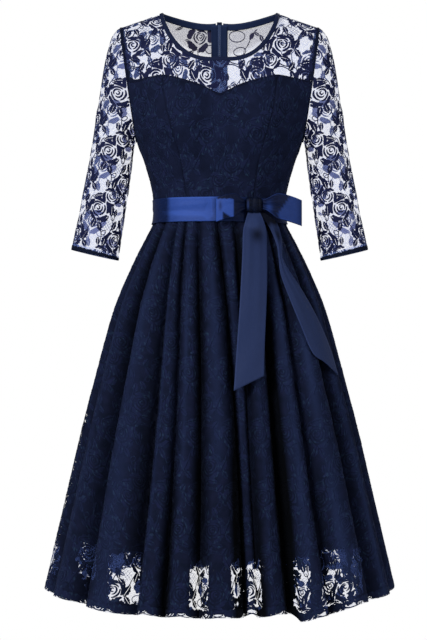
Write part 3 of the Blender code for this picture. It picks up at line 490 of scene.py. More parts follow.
@dataclass(frozen=True)
class SkirtForm:
    """The folded form that the skirt, its lining and the hanging ribbon follow."""

    swing: float = 0.16
    growth: float = 0.12
    steepness: float = 0.5
    roundness: float = 3.0
    flat_level: float = -0.95
    flat_steps: int = 24

    def fall(self, z: Array | float) -> Array:
        """How far a level lies below the waist seam."""
        return np.maximum(WAIST_SEAM - np.asarray(z, float), 0.0)

    def fall_share(self, z: Array) -> Array:
        """The same as a share of the whole way down to the hem."""
        return self.fall(z) / float(self.fall(SKIRT_HEM))

    def point(
        self,
        place: Array,
        z: Array,
        fold_share: Array | float = 1.0,
        inset: Array | float = 0.0,
    ) -> Array:
        """Points of the folded cloth.

        Args:
            place: folds counted round the skirt, with parts of a fold between.
            z: levels.
            fold_share: how much of each fold's depth the cloth follows.
            inset: how far inside the lace it hangs.

        Returns:
            An array of points.
        """
        place, z = np.broadcast_arrays(np.asarray(place, float), np.asarray(z, float))
        first = np.floor(place).astype(int) % len(FOLDS)
        after = (first + 1) % len(FOLDS)
        part = place - np.floor(place)
        full = 1 - math.exp(-float(self.fall(SKIRT_HEM)) / self.swing)
        share = (1 - np.exp(-self.fall(z) / self.swing)) / full
        folds = np.array(FOLDS)
        start = np.radians(mix(folds[first, 0], folds[first, 1], share))
        end = np.radians(mix(folds[after, 0], folds[after, 1], share)) + tau * (after == 0)
        bearing = mix(start, end, part)
        depth = mix(folds[first, 2], folds[after, 2], part) * (1 - np.exp(-self.fall(z) / self.growth))
        wide, front, back = read(SKIRT_LEVELS, z, "half_width", "front", "back")
        deep = np.where(np.cos(bearing) > 0, front, back)
        arc = (end - start) * (wide + deep) / 2
        crest = 1 - np.abs(2 * part - 1) ** self.roundness
        sunk = depth - np.minimum(depth, self.steepness * arc) * crest
        out = unit(stack(np.sin(bearing) * deep, -np.cos(bearing) * wide, 0 * z))
        ring = stack(wide * np.sin(bearing), -deep * np.cos(bearing), z)
        return ring - out * (sunk * fold_share + inset)[..., None]

    def flat(self, place: Array) -> Array:
        """Length along the border's cloth at places counted in folds."""
        knots = spread(len(FOLDS) * self.flat_steps + 1, 0, len(FOLDS))
        lengths = np.concatenate([[0.0], np.cumsum(gaps(self.point(knots, self.flat_level)))])
        turns = np.floor(np.asarray(place) / len(FOLDS))
        return turns * lengths[-1] + np.interp(place - turns * len(FOLDS), knots, lengths)


@dataclass(frozen=True)
class SleeveForm:
    """The tube that each sleeve follows."""

    half_girth: float = 0.128
    length: float = 0.335

    def around(self, u: Array) -> tuple[Array, Array]:
        """The side of a place round the sleeve, and its turn from the outer line."""
        return np.where(u < 0, Side.BACK.value, Side.FRONT.value), pi * np.abs(u) / self.half_girth

    def point(self, arm: Arm, u: Array, along: Array) -> Array:
        """Points of a sleeve.

        Args:
            arm: which arm.
            u: the length round it from its outer line, minus at the back.
            along: 0 at the armhole, 1 at the cuff.

        Returns:
            An array of points.
        """
        side, turn = self.around(u)
        outer_x, outer_z, under_x, under_z, depth, forward = read(SLEEVE, along, *SleeveRing._fields[1:])
        x = (outer_x + under_x) / 2 + (outer_x - under_x) / 2 * np.cos(turn)
        z = (outer_z + under_z) / 2 + (outer_z - under_z) / 2 * np.cos(turn)
        return stack(arm.value * x, side * depth * np.sin(turn) - forward, z)


TORSO = Torso()
SKIRT = SkirtForm()
SLEEVES = SleeveForm()


# ---------------------------------------------------------------- node graphs


Value = "Field | float | int | bool | str | Sequence[float] | ID"
NUMBERS = {"VALUE", "INT", "BOOLEAN"}


def operator(operation: str, reflected: bool = False) -> Callable[[Field, Value], Field]:
    """A Python operator on Fields that adds its Math or Vector Math node."""

    def apply(self: Field, other: Value) -> Field:
        """Adds the node; a reflected operator takes the other value first."""
        return self.graph.math(operation, *((other, self) if reflected else (self, other)))

    return apply


class Field:
    """A node socket that reads like a number or a vector while its arithmetic adds nodes."""

    __add__ = operator("ADD")
    __radd__ = operator("ADD", reflected=True)
    __sub__ = operator("SUBTRACT")
    __rsub__ = operator("SUBTRACT", reflected=True)
    __mul__ = operator("MULTIPLY")
    __rmul__ = operator("MULTIPLY", reflected=True)
    __truediv__ = operator("DIVIDE")

    def __init__(self, graph: Graph, socket: NodeSocket) -> None:
        """Takes the graph and one of its output sockets."""
        self.graph = graph
        self.socket = socket

    def math(self, operation: str, *others: Value) -> Field:
        """A Math or Vector Math operation that starts from this socket."""
        return self.graph.math(operation, self, *others)

    def beside(self, name: str) -> Field:
        """Another output of the same node."""
        return Field(self.graph, self.socket.node.outputs[name])

    def part(self, axis: str) -> Field:
        """One coordinate of a vector."""
        return self.graph.add("ShaderNodeSeparateXYZ", {}, {0: self}, axis)

    def beyond(self, limit: Field | float, softness: float) -> Field:
        """A mask that rises smoothly from 0 to 1 about a limit."""
        values = {"Value": self, "From Min": limit - softness, "From Max": limit + softness}
        return self.graph.add("ShaderNodeMapRange", {"interpolation_type": "SMOOTHSTEP"}, values)


class Graph:
    """Adds nodes to one material's or one Geometry Nodes tree."""

    def __init__(self, tree: NodeTree) -> None:
        """Takes the tree."""
        self.tree = tree

    def add(
        self,
        kind: str,
        settings: dict[str, object] | None = None,
        values: dict[str | int, Value] | None = None,
        out: str | int = 0,
    ) -> Field:
        """Adds one node.

        Args:
            kind: the node's type.
            settings: its own properties, which are set first.
            values: links or plain values of its input sockets, by name or place.
            out: the output that is wanted.

        Returns:
            The output as a Field.
        """
        node = self.tree.nodes.new(kind)
        for name, value in (settings or {}).items():
            setattr(node, name, value)
        for name, value in (values or {}).items():
            self.feed(node.inputs[name], value)
        return Field(self, node.outputs[out])

    def feed(self, socket: NodeSocket, value: Value) -> None:
        """Links a Field to an input, or sets its plain value; a plain colour is opaque."""
        if isinstance(value, Field):
            self.tree.links.new(value.socket, socket)
        else:
            socket.default_value = (*value, 1.0) if socket.type == "RGBA" else value

    def math(self, operation: str, *values: Value) -> Field:
        """Adds a Math node, or a Vector Math node where a value is a vector.

        Args:
            operation: what the node does.
            values: Fields and plain numbers, in order.

        Returns:
            The result as a Field.
        """
        kind = "ShaderNodeMath"
        if any(isinstance(value, Field) and value.socket.type not in NUMBERS for value in values):
            kind = "ShaderNodeVectorMath"
            values = [(value,) * 3 if isinstance(value, (int, float)) else value for value in values]
        return self.add(kind, {"operation": operation}, dict(enumerate(values)))

    def blend(self, share: Value, first: Value, second: Value) -> Field:
        """Mixes two colours."""
        return self.add("ShaderNodeMix", {"data_type": "RGBA"}, {0: share, 6: first, 7: second}, 2)

    def read(self, attribute: str) -> Field:
        """Reads a number that a mesh keeps at its points, 0 where it has none."""
        return self.add("ShaderNodeAttribute", {"attribute_name": attribute}, {}, "Fac")

    def noise(self, where: Field, size: float, detail: float = 2.0) -> Field:
        """Soft noise from 0 to 1 whose grains have a given size in metres."""
        return self.add("ShaderNodeTexNoise", {}, {"Vector": where, "Scale": 1 / size, "Detail": detail})


# ---------------------------------------------------------------- finishes

Colour = tuple[float, float, float]
Looks = dict[str, "Field | float"]


class Map(Enum):
    """What a finish's pattern follows."""

    CLOTH = "the flat cloth"
    OBJECT = "the object's place"


@dataclass(frozen=True)
class Finish:
    """A plain finish: a colour that drifts a little, with a fine grain."""

    name: str
    colour: Colour
    dark: Colour
    roughness: float = 0.8
    sheen: float = 0.0
    sheen_colour: Colour = (0.5, 0.6, 1.0)
    sheen_roughness: float = 0.45
    specular: float = 0.05
    follows: Map = Map.CLOTH
    drift: float = 18 * MM
    grain: float = 0.5 * MM
    relief: float = 0.12 * MM
    # the colours of the painted shade between folds and of the painted highlight on their ridges
    hollow: Colour = (0.0006, 0.0011, 0.0024)
    lit: Colour = (0.017, 0.028, 0.082)

    def material(self) -> Material:
        """Builds the material, or returns the one that is already built."""
        material = bpy.data.materials.get(self.name)
        if material:
            return material
        material = bpy.data.materials.new(self.name)
        material.use_nodes = True
        material.diffuse_color = (*self.colour, 1.0)
        graph = Graph(material.node_tree)
        shader = material.node_tree.nodes["Principled BSDF"]
        steady = {
            "Roughness": self.roughness,
            "Specular IOR Level": self.specular,
            "Sheen Weight": self.sheen,
            "Sheen Roughness": self.sheen_roughness,
            "Sheen Tint": self.sheen_colour,
        }
        varied = self.dress(graph, self.place(graph))
        for name, value in (*steady.items(), *varied.items()):
            graph.feed(shader.inputs[name], value)
        return material

    def place(self, graph: Graph) -> Field:
        """The coordinates in metres that the pattern follows."""
        if self.follows is Map.OBJECT:
            return graph.add("ShaderNodeTexCoord", {}, {}, "Object")
        return graph.add("ShaderNodeUVMap", {"uv_map": FLAT_UV}) * (1 / UV_SCALE)

    def dress(self, graph: Graph, place: Field) -> Looks:
        """What varies over the piece, by the shader's input: here its colour, with painted shade and painted
        highlight from the folds' mark, and its relief.
        """
        tone = self.tone(graph, graph.noise(place, self.drift))
        return {"Base Color": self.sunk(graph, tone), "Normal": self.emboss(graph, place)}

    def tone(self, graph: Graph, share: Field) -> Field:
        """A colour between the dark one and the light one."""
        return graph.blend(share, self.dark, self.colour)

    def sunk(self, graph: Graph, tone: Field) -> Field:
        """Paints shade into a colour where the cloth lies between folds, and paints a highlight where a fold's
        ridge would shine.
        """
        hollow = graph.read(PAINTED_SHADE)
        return graph.blend(hollow, graph.blend(hollow * -1.0, tone, self.lit), self.hollow)

    def height(self, graph: Graph, place: Field) -> Field:
        """The fine relief, from 0 to 1."""
        return graph.noise(place, self.grain)

    def emboss(self, graph: Graph, place: Field) -> Field:
        """The normal that the relief gives."""
        values = {"Strength": 0.6, "Distance": self.relief, "Height": self.height(graph, place)}
        return graph.add("ShaderNodeBump", {}, values)


@dataclass(frozen=True)
class Weave(Finish):
    """A woven cloth: threads that cross at a right angle."""

    thread: float = 0.45 * MM
    warp_share: float = 0.5

    def height(self, graph: Graph, place: Field) -> Field:
        """Rounded threads both ways."""
        turns = tau / (2 * self.thread)
        warp = (place.part("X") * turns).math("SINE")
        weft = (place.part("Y") * turns).math("SINE")
        return warp * warp * self.warp_share + weft * weft * (1 - self.warp_share)


@dataclass(frozen=True)
class Satin(Weave):
    """A satin: fine ribs across it, and colour bands painted lighter as sheen where its floats would catch the
    light.
    """

    band: float = 9 * MM
    narrowing: float = 6.0
    gloss_spread: float = 0.16

    def dress(self, graph: Graph, place: Field) -> Looks:
        """Colour, gloss and relief; the bands run across the ribbon."""
        bands = graph.noise(place * (1.0, self.narrowing, 1.0), self.band, 3.0)
        return {
            "Base Color": self.tone(graph, self.light(graph, bands)),
            "Roughness": self.roughness - self.gloss_spread / 2 + self.gloss_spread * bands,
            "Normal": self.emboss(graph, place),
        }

    def light(self, graph: Graph, bands: Field) -> Field:
        """How light the satin is painted: here its bands, as painted sheen."""
        return bands


@dataclass(frozen=True)
class Ribbon(Satin):
    """A satin ribbon whose colour carries a painted gleam: painted highlight and painted shade set at each
    point.
    """

    narrowing: float = 5.0
    gloss_spread: float = 0.12
    streak: float = 0.22

    def light(self, graph: Graph, bands: Field) -> Field:
        """The ribbon's painted gleam, with the bands as weak streaks of painted sheen in it."""
        return graph.read(GLEAM) + (bands - 0.5) * self.streak


@dataclass(frozen=True)
class Net(Finish):
    """The lace's ground: a fine net of crossing threads with open meshes between them."""

    mesh: float = 1.5 * MM
    thread: float = 0.13 * MM
    slant: float = 0.6
    thicker: float = 2.7
    # the threads' colour where they are marked shaded: painted shade
    dull: Colour = (0.18, 0.19, 0.37)
    gathered: Colour = (0.0085, 0.0125, 0.032)
    tatter: float = 6 * MM
    raggedness: float = 1.5

    def dress(self, graph: Graph, place: Field) -> Looks:
        """The threads' colour, painted darker as shade where they are marked shaded, and the open meshes where
        the net isn't drawn close in folds; closed net takes the folds' painted shade and highlight.
        """
        ragged = graph.noise(place, self.tatter, 3.0)
        close = (graph.read(CLOSE) + (ragged - 0.5) * self.raggedness).beyond(0.5, 0.04)
        tone = graph.blend(graph.noise(place, self.drift), self.dark, self.gathered)
        dense = graph.read(SHADED_THREADS)
        thread = graph.blend(dense, self.colour, self.dull)
        open_share = (dense * self.thicker + 1) * (self.thread / self.mesh)
        along, up = place.part("X") / self.mesh, place.part("Y") / self.mesh
        masks = []
        for across in (along + up * self.slant, along - up * self.slant):
            away = (across.math("FRACT") - 0.5).math("ABSOLUTE")
            masks.append(away.beyond(open_share / 2, open_share * 0.2))
        return {
            "Base Color": graph.blend(close, thread, self.sunk(graph, tone)),
            "Alpha": (1 - masks[0] * masks[1]).math("MAXIMUM", close),
        }


@dataclass(frozen=True)
class Cord(Finish):
    """The lace's flowers: close stitched thread whose strands run round each petal."""

    strand: float = 0.55 * MM
    wander: float = 6 * MM
    # painted highlights in small flecks, where a strand would catch the light
    fleck: Colour = (0.0, 0.0, 0.0)
    fleck_size: float = 3.5 * MM
    fleck_share: float = 0.0

    def dress(self, graph: Graph, place: Field) -> Looks:
        """A colour with painted highlights in small flecks where a strand would catch the light, painted shade
        and highlight from the folds, and the strands.
        """
        tone = self.tone(graph, graph.noise(place, self.drift))
        painted_glints = graph.noise(place * (1.0, 0.45, 1.0), self.fleck_size, 4.0)
        tone = graph.blend(painted_glints.beyond(0.6, 0.07) * self.fleck_share, tone, self.fleck)
        return {"Base Color": self.sunk(graph, tone), "Normal": self.emboss(graph, place)}

    def height(self, graph: Graph, place: Field) -> Field:
        """Strands that wander with the petals."""
        bent = graph.noise(place, self.wander, 0.0) * 9.0
        strands = ((place.part("X") + place.part("Y")) * (tau / self.strand) + bent).math("SINE")
        return strands * 0.25 + graph.noise(place, self.grain) * 0.75


@dataclass(frozen=True)
class Metal(Finish):
    """Lacquered zip metal, worn brighter in patches."""

    metallic: float = 0.7

    def dress(self, graph: Graph, place: Field) -> Looks:
        """The lacquer's colour, its gloss and its fine scratches."""
        worn = graph.noise(place, self.drift, 4.0).beyond(0.62, 0.08)
        return {
            "Metallic": self.metallic,
            "Base Color": self.tone(graph, worn),
            "Roughness": self.roughness - 0.12 * worn,
            "Normal": self.emboss(graph, place),
        }

    def height(self, graph: Graph, place: Field) -> Field:
        """Scratches finer than a cloth's grain."""
        return graph.noise(place, self.grain, 5.0)


LACE = Cord("lace_cord", (0.021, 0.026, 0.085), (0.005, 0.007, 0.03), 0.8, 0.02)
LACE_OVER = Cord(
    "lace_over_lining",
    (0.015, 0.019, 0.068),
    (0.0042, 0.0102, 0.025),
    0.8,
    0.03,
    drift=13 * MM,
    fleck=(0.0235, 0.051, 0.096),
    fleck_share=0.55,
)
# the lace's inner faces, painted far lighter than its cord: painted light on faces that lie in shade
LACE_BACK_LIT = Cord("lace_reverse", (0.43, 0.45, 0.7), (0.2, 0.21, 0.43), 0.85, 0.02)
LACE_INSIDE_LIT = Cord("lace_inside", (0.09, 0.088, 0.18), (0.024, 0.024, 0.06), 0.85, 0.02)
NET = Net("lace_net", (0.23, 0.36, 0.9), (0.0045, 0.0065, 0.018), 0.8)
NET_SKIRT = Net(
    "skirt_net",
    (0.09, 0.145, 0.43),
    (0.002, 0.0056, 0.014),
    0.8,
    drift=15 * MM,
    thread=0.2 * MM,
    thicker=0.0,
    # the threads' painted shade where the lining lies behind them
    dull=(0.006, 0.009, 0.026),
    tatter=9 * MM,
    raggedness=1.2,
    gathered=(0.0118, 0.015, 0.047),
)
BODICE_CLOTH = Weave(
    "bodice_weave", (0.0125, 0.018, 0.054), (0.0018, 0.0036, 0.011), 0.8, 0.02, drift=30 * MM
)
LINING_CLOTH = Weave("lining_weave", (0.003, 0.0045, 0.012), (0.0022, 0.0032, 0.0085), 0.7, 0.01)
BINDING_SATIN = Satin("binding_satin", (0.013, 0.02, 0.06), (0.0075, 0.012, 0.038), 0.55, 0.03)
RIBBON = Ribbon("ribbon_satin", (0.038, 0.095, 0.415), (0.0016, 0.0055, 0.028), 0.42, 0.03, specular=0.1)
# darker copies of the ribbon's satin: painted shade for the knot and for the hanging ends
RIBBON_SHADE = Ribbon(
    "ribbon_satin_knot", (0.022, 0.048, 0.19), (0.001, 0.0028, 0.011), 0.5, 0.02, specular=0.08
)
RIBBON_SHADED_END = Ribbon(
    "ribbon_satin_across", (0.025, 0.043, 0.13), (0.0012, 0.003, 0.012), 0.5, 0.03, specular=0.1
)
TAPE = Weave("zip_tape_weave", (0.025, 0.043, 0.115), (0.017, 0.03, 0.085), 0.8, 0.02)
COIL = Weave("zip_coil", (0.13, 0.19, 0.38), (0.09, 0.14, 0.3), 0.5, specular=0.15)
SEAM = Weave("seam_tape", (0.006, 0.0085, 0.026), (0.004, 0.006, 0.018), 0.8, 0.02)
THREAD = Finish("stitch_thread", (0.017, 0.024, 0.07), (0.011, 0.016, 0.048), 0.7, 0.02)
ZIP_METAL = Metal("zip_lacquer", (0.075, 0.105, 0.23), (0.03, 0.045, 0.11), 0.38, follows=Map.OBJECT)


# ---------------------------------------------------------------- lace motif


class RoseSpot(NamedTuple):
    """A rose of the repeat: its middle and radius in millimetres, and its turn."""

    x: float
    y: float
    radius: float
    turn_deg: float


class LeafSpot(NamedTuple):
    """A leaf of the repeat: its middle, length and width in millimetres, and its tilt."""

    x: float
    y: float
    length: float
    width: float
    tilt_deg: float


class StemRun(NamedTuple):
    """A stem of the repeat: its two ends and the point that it bends towards, in millimetres."""

    x0: float
    y0: float
    bend_x: float
    bend_y: float
    x1: float
    y1: float


class Tendril(NamedTuple):
    """A stem that loops into an oval: its middle, its half sizes and its tilt."""

    x: float
    y: float
    half_length: float
    half_width: float
    tilt_deg: float


class PetalRing(NamedTuple):
    """A ring of a rose's petals, in shares of its radius: how many, and how far each sweeps."""

    petals: int
    inner: float
    outer: float
    sweep_deg: float
    start_deg: float
    lobes: float


LACE_REPEAT = (84.0, 98.0)
ROSE_RINGS = table(
    PetalRing,
    (1, 0.1, 0.27, 280, 20, 0),
    (2, 0.35, 0.56, 160, 70, 0),
    (3, 0.645, 0.86, 108, 10, 0.02),
    (5, 0.93, 1.3, 66, 35, 0.09),
)
ROSES = table(RoseSpot, (21, 24, 15, 20), (63, 73, 15, 160), (0, -1, 12.5, 265))
LEAVES = table(
    LeafSpot,
    (35.5, 38, 18, 9, 135), (13, 48.5, 18, 9, 68), (27, 52, 18, 8.5, 112), (-1, 21, 20, 10, 80),
    (45, 26, 21, 10.5, 62), (47, 11.5, 16, 8.5, 130), (26, 2, 18, 8.5, -14), (77, 57, 18, 8.5, 42),
    (58.5, 47.5, 18, 9, 72), (70, 43.5, 18, 8.5, 112), (39.5, 74.5, 21, 10.5, 118),
    (36.5, 89, 16, 8.5, 50), (87, 73, 20, 10, 98), (61, 95.5, 18, 8, 12),
    (71.5, 19, 14, 6.5, 95), (12, 70, 14, 6.5, 85),
)
STEMS = table(
    StemRun,
    (20, 39, 24, 52, 32, 64), (48, 34, 50, 42, 58, 56), (12, -3, 22, -10, 36, -9),
    (50, -6, 60, -14, 74, -5), (-11, 36, -16, 48, -8, 60), (6, 36, 13, 50, 7, 62),
    (5, 84, 18, 94, 36, 82), (47, 62, 38, 62, 36, 82), (74, 36, 79, 22, 72, 8),
)
TENDRILS = table(
    Tendril,
    (49.5, 88.5, 6.5, 4, 60), (7.5, 62, 5.5, 3.4, 100), (79, 34, 5, 3.2, 40),
    (35.5, 63, 4.5, 3, 80), (31, 12, 4, 2.6, 30),
)
LATTICES = ((42, 50, 9), (0, 47, 9))


class Patch(NamedTuple):
    """A small sheet of stitched thread: rows of flat points, with a height for each row."""

    rows: Array
    heights: tuple[float, ...]


def turned(x: Array, y: Array, tilt_deg: float) -> Array:
    """Flat points turned about the origin."""
    tilt = math.radians(tilt_deg)
    return np.stack([x * math.cos(tilt) - y * math.sin(tilt), x * math.sin(tilt) + y * math.cos(tilt)], -1)


@dataclass(frozen=True)
class LaceTile:
    """One repeat of the floral lace, as small raised patches with thin open lines between them."""

    roses: tuple[RoseSpot, ...] = ROSES
    leaves: tuple[LeafSpot, ...] = LEAVES
    stems: tuple[StemRun, ...] = STEMS
    tendrils: tuple[Tendril, ...] = TENDRILS
    lattices: tuple[tuple[float, float, float], ...] = LATTICES
    rings: tuple[PetalRing, ...] = ROSE_RINGS
    stem_width: float = 1.8
    vein: float = 0.4
    curl: float = 0.1
    aside: float = 0.16
    rise: float = 0.35
    lattice_step: float = 4.2
    lattice_thread: float = 0.35

    def patches(self) -> list[Patch]:
        """Every patch of the repeat, in millimetres."""
        found = [petal for rose in self.roses for petal in self.rose(rose)]
        found += [half for leaf in self.leaves for half in self.leaf(leaf)]
        found += [self.stem(stem) for stem in self.stems]
        found += [self.tendril(tendril) for tendril in self.tendrils]
        found += [thread for lattice in self.lattices for thread in self.lattice(*lattice)]
        return found

    def rose(self, spot: RoseSpot) -> list[Patch]:
        """A rose: rings of petals round an open eye, not quite round."""
        petals = []
        for ring in self.rings:
            off = np.array(self.aside * spot.radius * (1 - ring.outer))
            aside = turned(off, np.array(0.0), spot.turn_deg * 3)
            s = spread(11 if ring.lobes or ring.petals == 1 else 8)
            taper = np.sin(pi * (0.06 + 0.88 * s)) ** 0.55
            middle, half = (ring.inner + ring.outer) / 2, (ring.outer - ring.inner) / 2 * taper
            lobes = ring.lobes * np.abs(np.sin(pi * 2.5 * s))
            for k in range(ring.petals):
                start = spot.turn_deg + ring.start_deg + 360.0 * k / ring.petals
                angle = np.radians(start + ring.sweep_deg * s)
                wobble = 1 + 0.07 * np.sin(2 * angle + spot.turn_deg) + 0.04 * np.sin(3 * angle)
                wobble += self.curl * (s - 0.5)
                way = np.stack([np.cos(angle), np.sin(angle)], -1)
                radii = (middle - half, middle, middle + half + lobes)
                rows = [(r * spot.radius * wobble)[:, None] * way + (spot.x, spot.y) + aside for r in radii]
                petals.append(Patch(np.array(rows), (0.0, self.rise, 0.0)))
        return petals

    def leaf(self, spot: LeafSpot) -> list[Patch]:
        """A leaf in two halves beside its vein, with a toothed edge."""
        s = spread(9)
        teeth = 1 + 0.24 * np.where(np.arange(9) % 2 == 1, 1.0, -0.35)
        edge = spot.width / 2 * np.sin(pi * s) ** 0.75 * teeth
        halves = []
        for side in (-1, 1):
            inner = np.minimum(edge, self.vein)
            x = (s - 0.5) * spot.length
            rows = [turned(x, side * y, spot.tilt_deg) + (spot.x, spot.y) for y in (inner, edge)]
            halves.append(Patch(np.array(rows[::side]), (self.rise, 0.0)[::side]))
        return halves

    def stem(self, run: StemRun) -> Patch:
        """A stem along a bent line, thinner towards its end."""
        s = spread(10)[:, None]
        start, bend, end = np.array(run).reshape(3, 2)
        line = (1 - s) ** 2 * start + 2 * s * (1 - s) * bend + s * s * end
        return self.band(line, self.stem_width * (1 - 0.45 * s))

    def tendril(self, spot: Tendril) -> Patch:
        """A thin oval loop."""
        angle = spread(17, 0.0, tau)
        line = turned(spot.half_length * np.cos(angle), spot.half_width * np.sin(angle), spot.tilt_deg)
        return self.band(line + (spot.x, spot.y), self.stem_width * 0.75)

    def band(self, line: Array, width: Array | float) -> Patch:
        """A flat band with its middle along a line.

        Args:
            line: its middle line.
            width: its width, the same or by point.

        Returns:
            The patch.
        """
        along = unit(np.gradient(line, axis=0))
        half = np.stack([-along[:, 1], along[:, 0]], -1) * width / 2
        return Patch(np.array([line - half, line + half]), (0.0, 0.0))

    def lattice(self, x: float, y: float, reach: float) -> list[Patch]:
        """Thin threads that cross an open gap.

        Args:
            x: the middle of the gap across.
            y: its middle up.
            reach: its radius.

        Returns:
            A patch for each thread.
        """
        threads = []
        for way in (45.0, 135.0):
            for away in np.arange(-reach, reach + 0.1, self.lattice_step):
                half = math.sqrt(max(reach**2 - away**2, 1.0))
                line = turned(np.array([-half, half]), np.array([away, away]), way) + (x, y)
                threads.append(self.band(line, self.lattice_thread))
        return threads

    def build(self, name: str) -> Object:
        """Makes the repeat a flat mesh in metres, heights along Z, outside the scene's collection."""
        points: list[tuple[float, float, float]] = []
        faces: list[tuple[int, ...]] = []
        for patch in self.patches():
            rows, across = patch.rows.shape[:2]
            start = len(points)
            for row, height in zip(patch.rows, patch.heights):
                points += [(x * MM, y * MM, height * MM) for x, y in row]
            for r in range(rows - 1):
                for c in range(across - 1):
                    low = start + r * across + c
                    faces.append((low, low + 1, low + across + 1, low + across))
        mesh = mesh_of(name, points, faces)
        with opened(mesh) as work:
            work.normal_update()
            bmesh.ops.reverse_faces(work, faces=[face for face in work.faces if face.normal.z < 0])
        mesh.shade_smooth()
        return bpy.data.objects.new(name, mesh)


BACK_RINGS = table(
    PetalRing,
    (1, 0.12, 0.27, 290, 20, 0),
    (2, 0.37, 0.55, 165, 70, 0),
    (3, 0.66, 0.84, 112, 10, 0.03),
    (5, 0.95, 1.62, 64, 30, 0.12),
)
BACK_TILES = {
    "back_right": LaceTile(
        rings=BACK_RINGS,
        roses=table(RoseSpot, (34, 55, 13.5, 40), (74, 10, 12, 150)),
        leaves=table(
            LeafSpot, (70, 74, 15, 5, 160), (56, 51, 10, 4, 20), (38, 18, 18, 8.5, 70), (52, 30, 16, 8, 140)
        ),
        stems=table(StemRun, (63, 101, 56, 97, 50, 86), (45, 8, 34, 22, 40, 38)),
        tendrils=table(Tendril, (17, 36, 7.5, 6, 0)),
        lattices=(),
    ),
    "back_left": LaceTile(
        roses=table(RoseSpot, (72, 14, 14, 100)),
        leaves=table(
            LeafSpot,
            (57, 59, 15, 7, 62), (66, 63, 12, 5, 150), (74, 56, 13, 6.5, 112),
            (38, 16, 18, 8.5, 110), (24, 86, 12, 5, 30),
        ),
        stems=table(StemRun, (66, 72, 56, 60, 53, 50), (53, 50, 50, 40, 43, 37), (50, 6, 40, 20, 44, 36)),
        tendrils=table(Tendril, (36, 33.5, 11, 6, 12), (31, 56.5, 14, 9, 8)),
        lattices=(),
    ),
}


# ---------------------------------------------------------------- cloth and meshes


def mesh_of(name: str, points: Sequence, faces: Sequence, edges: Sequence = ()) -> Mesh:
    """A new mesh of points, with faces or with edges.

    Args:
        name: its name.
        points: its points.
        faces: point numbers of each face.
        edges: point numbers of each loose edge.

    Returns:
        The mesh.
    """
    mesh = bpy.data.meshes.new(name)
    mesh.from_pydata(points, edges, faces)
    return mesh


@contextmanager
def opened(mesh: Mesh) -> Iterator[bmesh.types.BMesh]:
    """Opens a mesh for work on its faces, and closes it again."""
    work = bmesh.new()
    work.from_mesh(mesh)
    yield work
    work.to_mesh(mesh)
    work.free()


def creased(creases: Sequence[Crease], u: Array, v: Array) -> Array:
    """How far soft troughs and ridges lift a cloth at flat places.

    Args:
        creases: the troughs and ridges.
        u: flat places across.
        v: flat places along.

    Returns:
        Lifts along the normal.
    """
    lift = np.zeros(np.broadcast(u, v).shape)
    for crease in creases:
        tilt = math.radians(crease.tilt_deg)
        along = (u - crease.u) * math.cos(tilt) + (v - crease.v) * math.sin(tilt)
        across = (v - crease.v) * math.cos(tilt) - (u - crease.u) * math.sin(tilt)
        lift += crease.depth * bump(2 * along, crease.length, 4) * bump(across, crease.width)
    return lift


def flat_of(grid: Array, middle: int | None = None) -> Array:
    """Flat cloth coordinates of a grid of points: lengths along its rows and down its columns.

    Args:
        grid: points by row and column.
        middle: the column from which lengths along a row are counted; the middle one if None.

    Returns:
        Flat coordinates in metres by row and column, v falling from the first row.
    """
    rows, columns = grid.shape[:2]
    middle = columns // 2 if middle is None else middle
    across = np.zeros((rows, columns))
    across[:, 1:] = np.cumsum(gaps(grid, 1), axis=1)
    across -= across[:, middle : middle + 1]
    down = np.concatenate([[0.0], np.cumsum(gaps(grid[:, middle]))])
    return np.stack([across, np.broadcast_to(-down[:, None], across.shape)], -1)


def normals_of(grid: Array) -> Array:
    """Unit normals of a grid of points."""
    across, down = np.gradient(grid, axis=1), np.gradient(grid, axis=0)
    normal = np.cross(across, down)
    return normal / np.maximum(np.linalg.norm(normal, axis=-1, keepdims=True), 1e-12)


def outward(grid: Array, axis: tuple[float, float] = (0.0, 0.0)) -> Array:
    """Unit normals that point away from an upright axis on the whole.

    Args:
        grid: points by row and column.
        axis: x and y of the upright axis.

    Returns:
        Unit normals.
    """
    normal = normals_of(grid)
    away = grid[..., :2] - np.array(axis)
    return normal * np.sign((normal[..., :2] * away).sum())


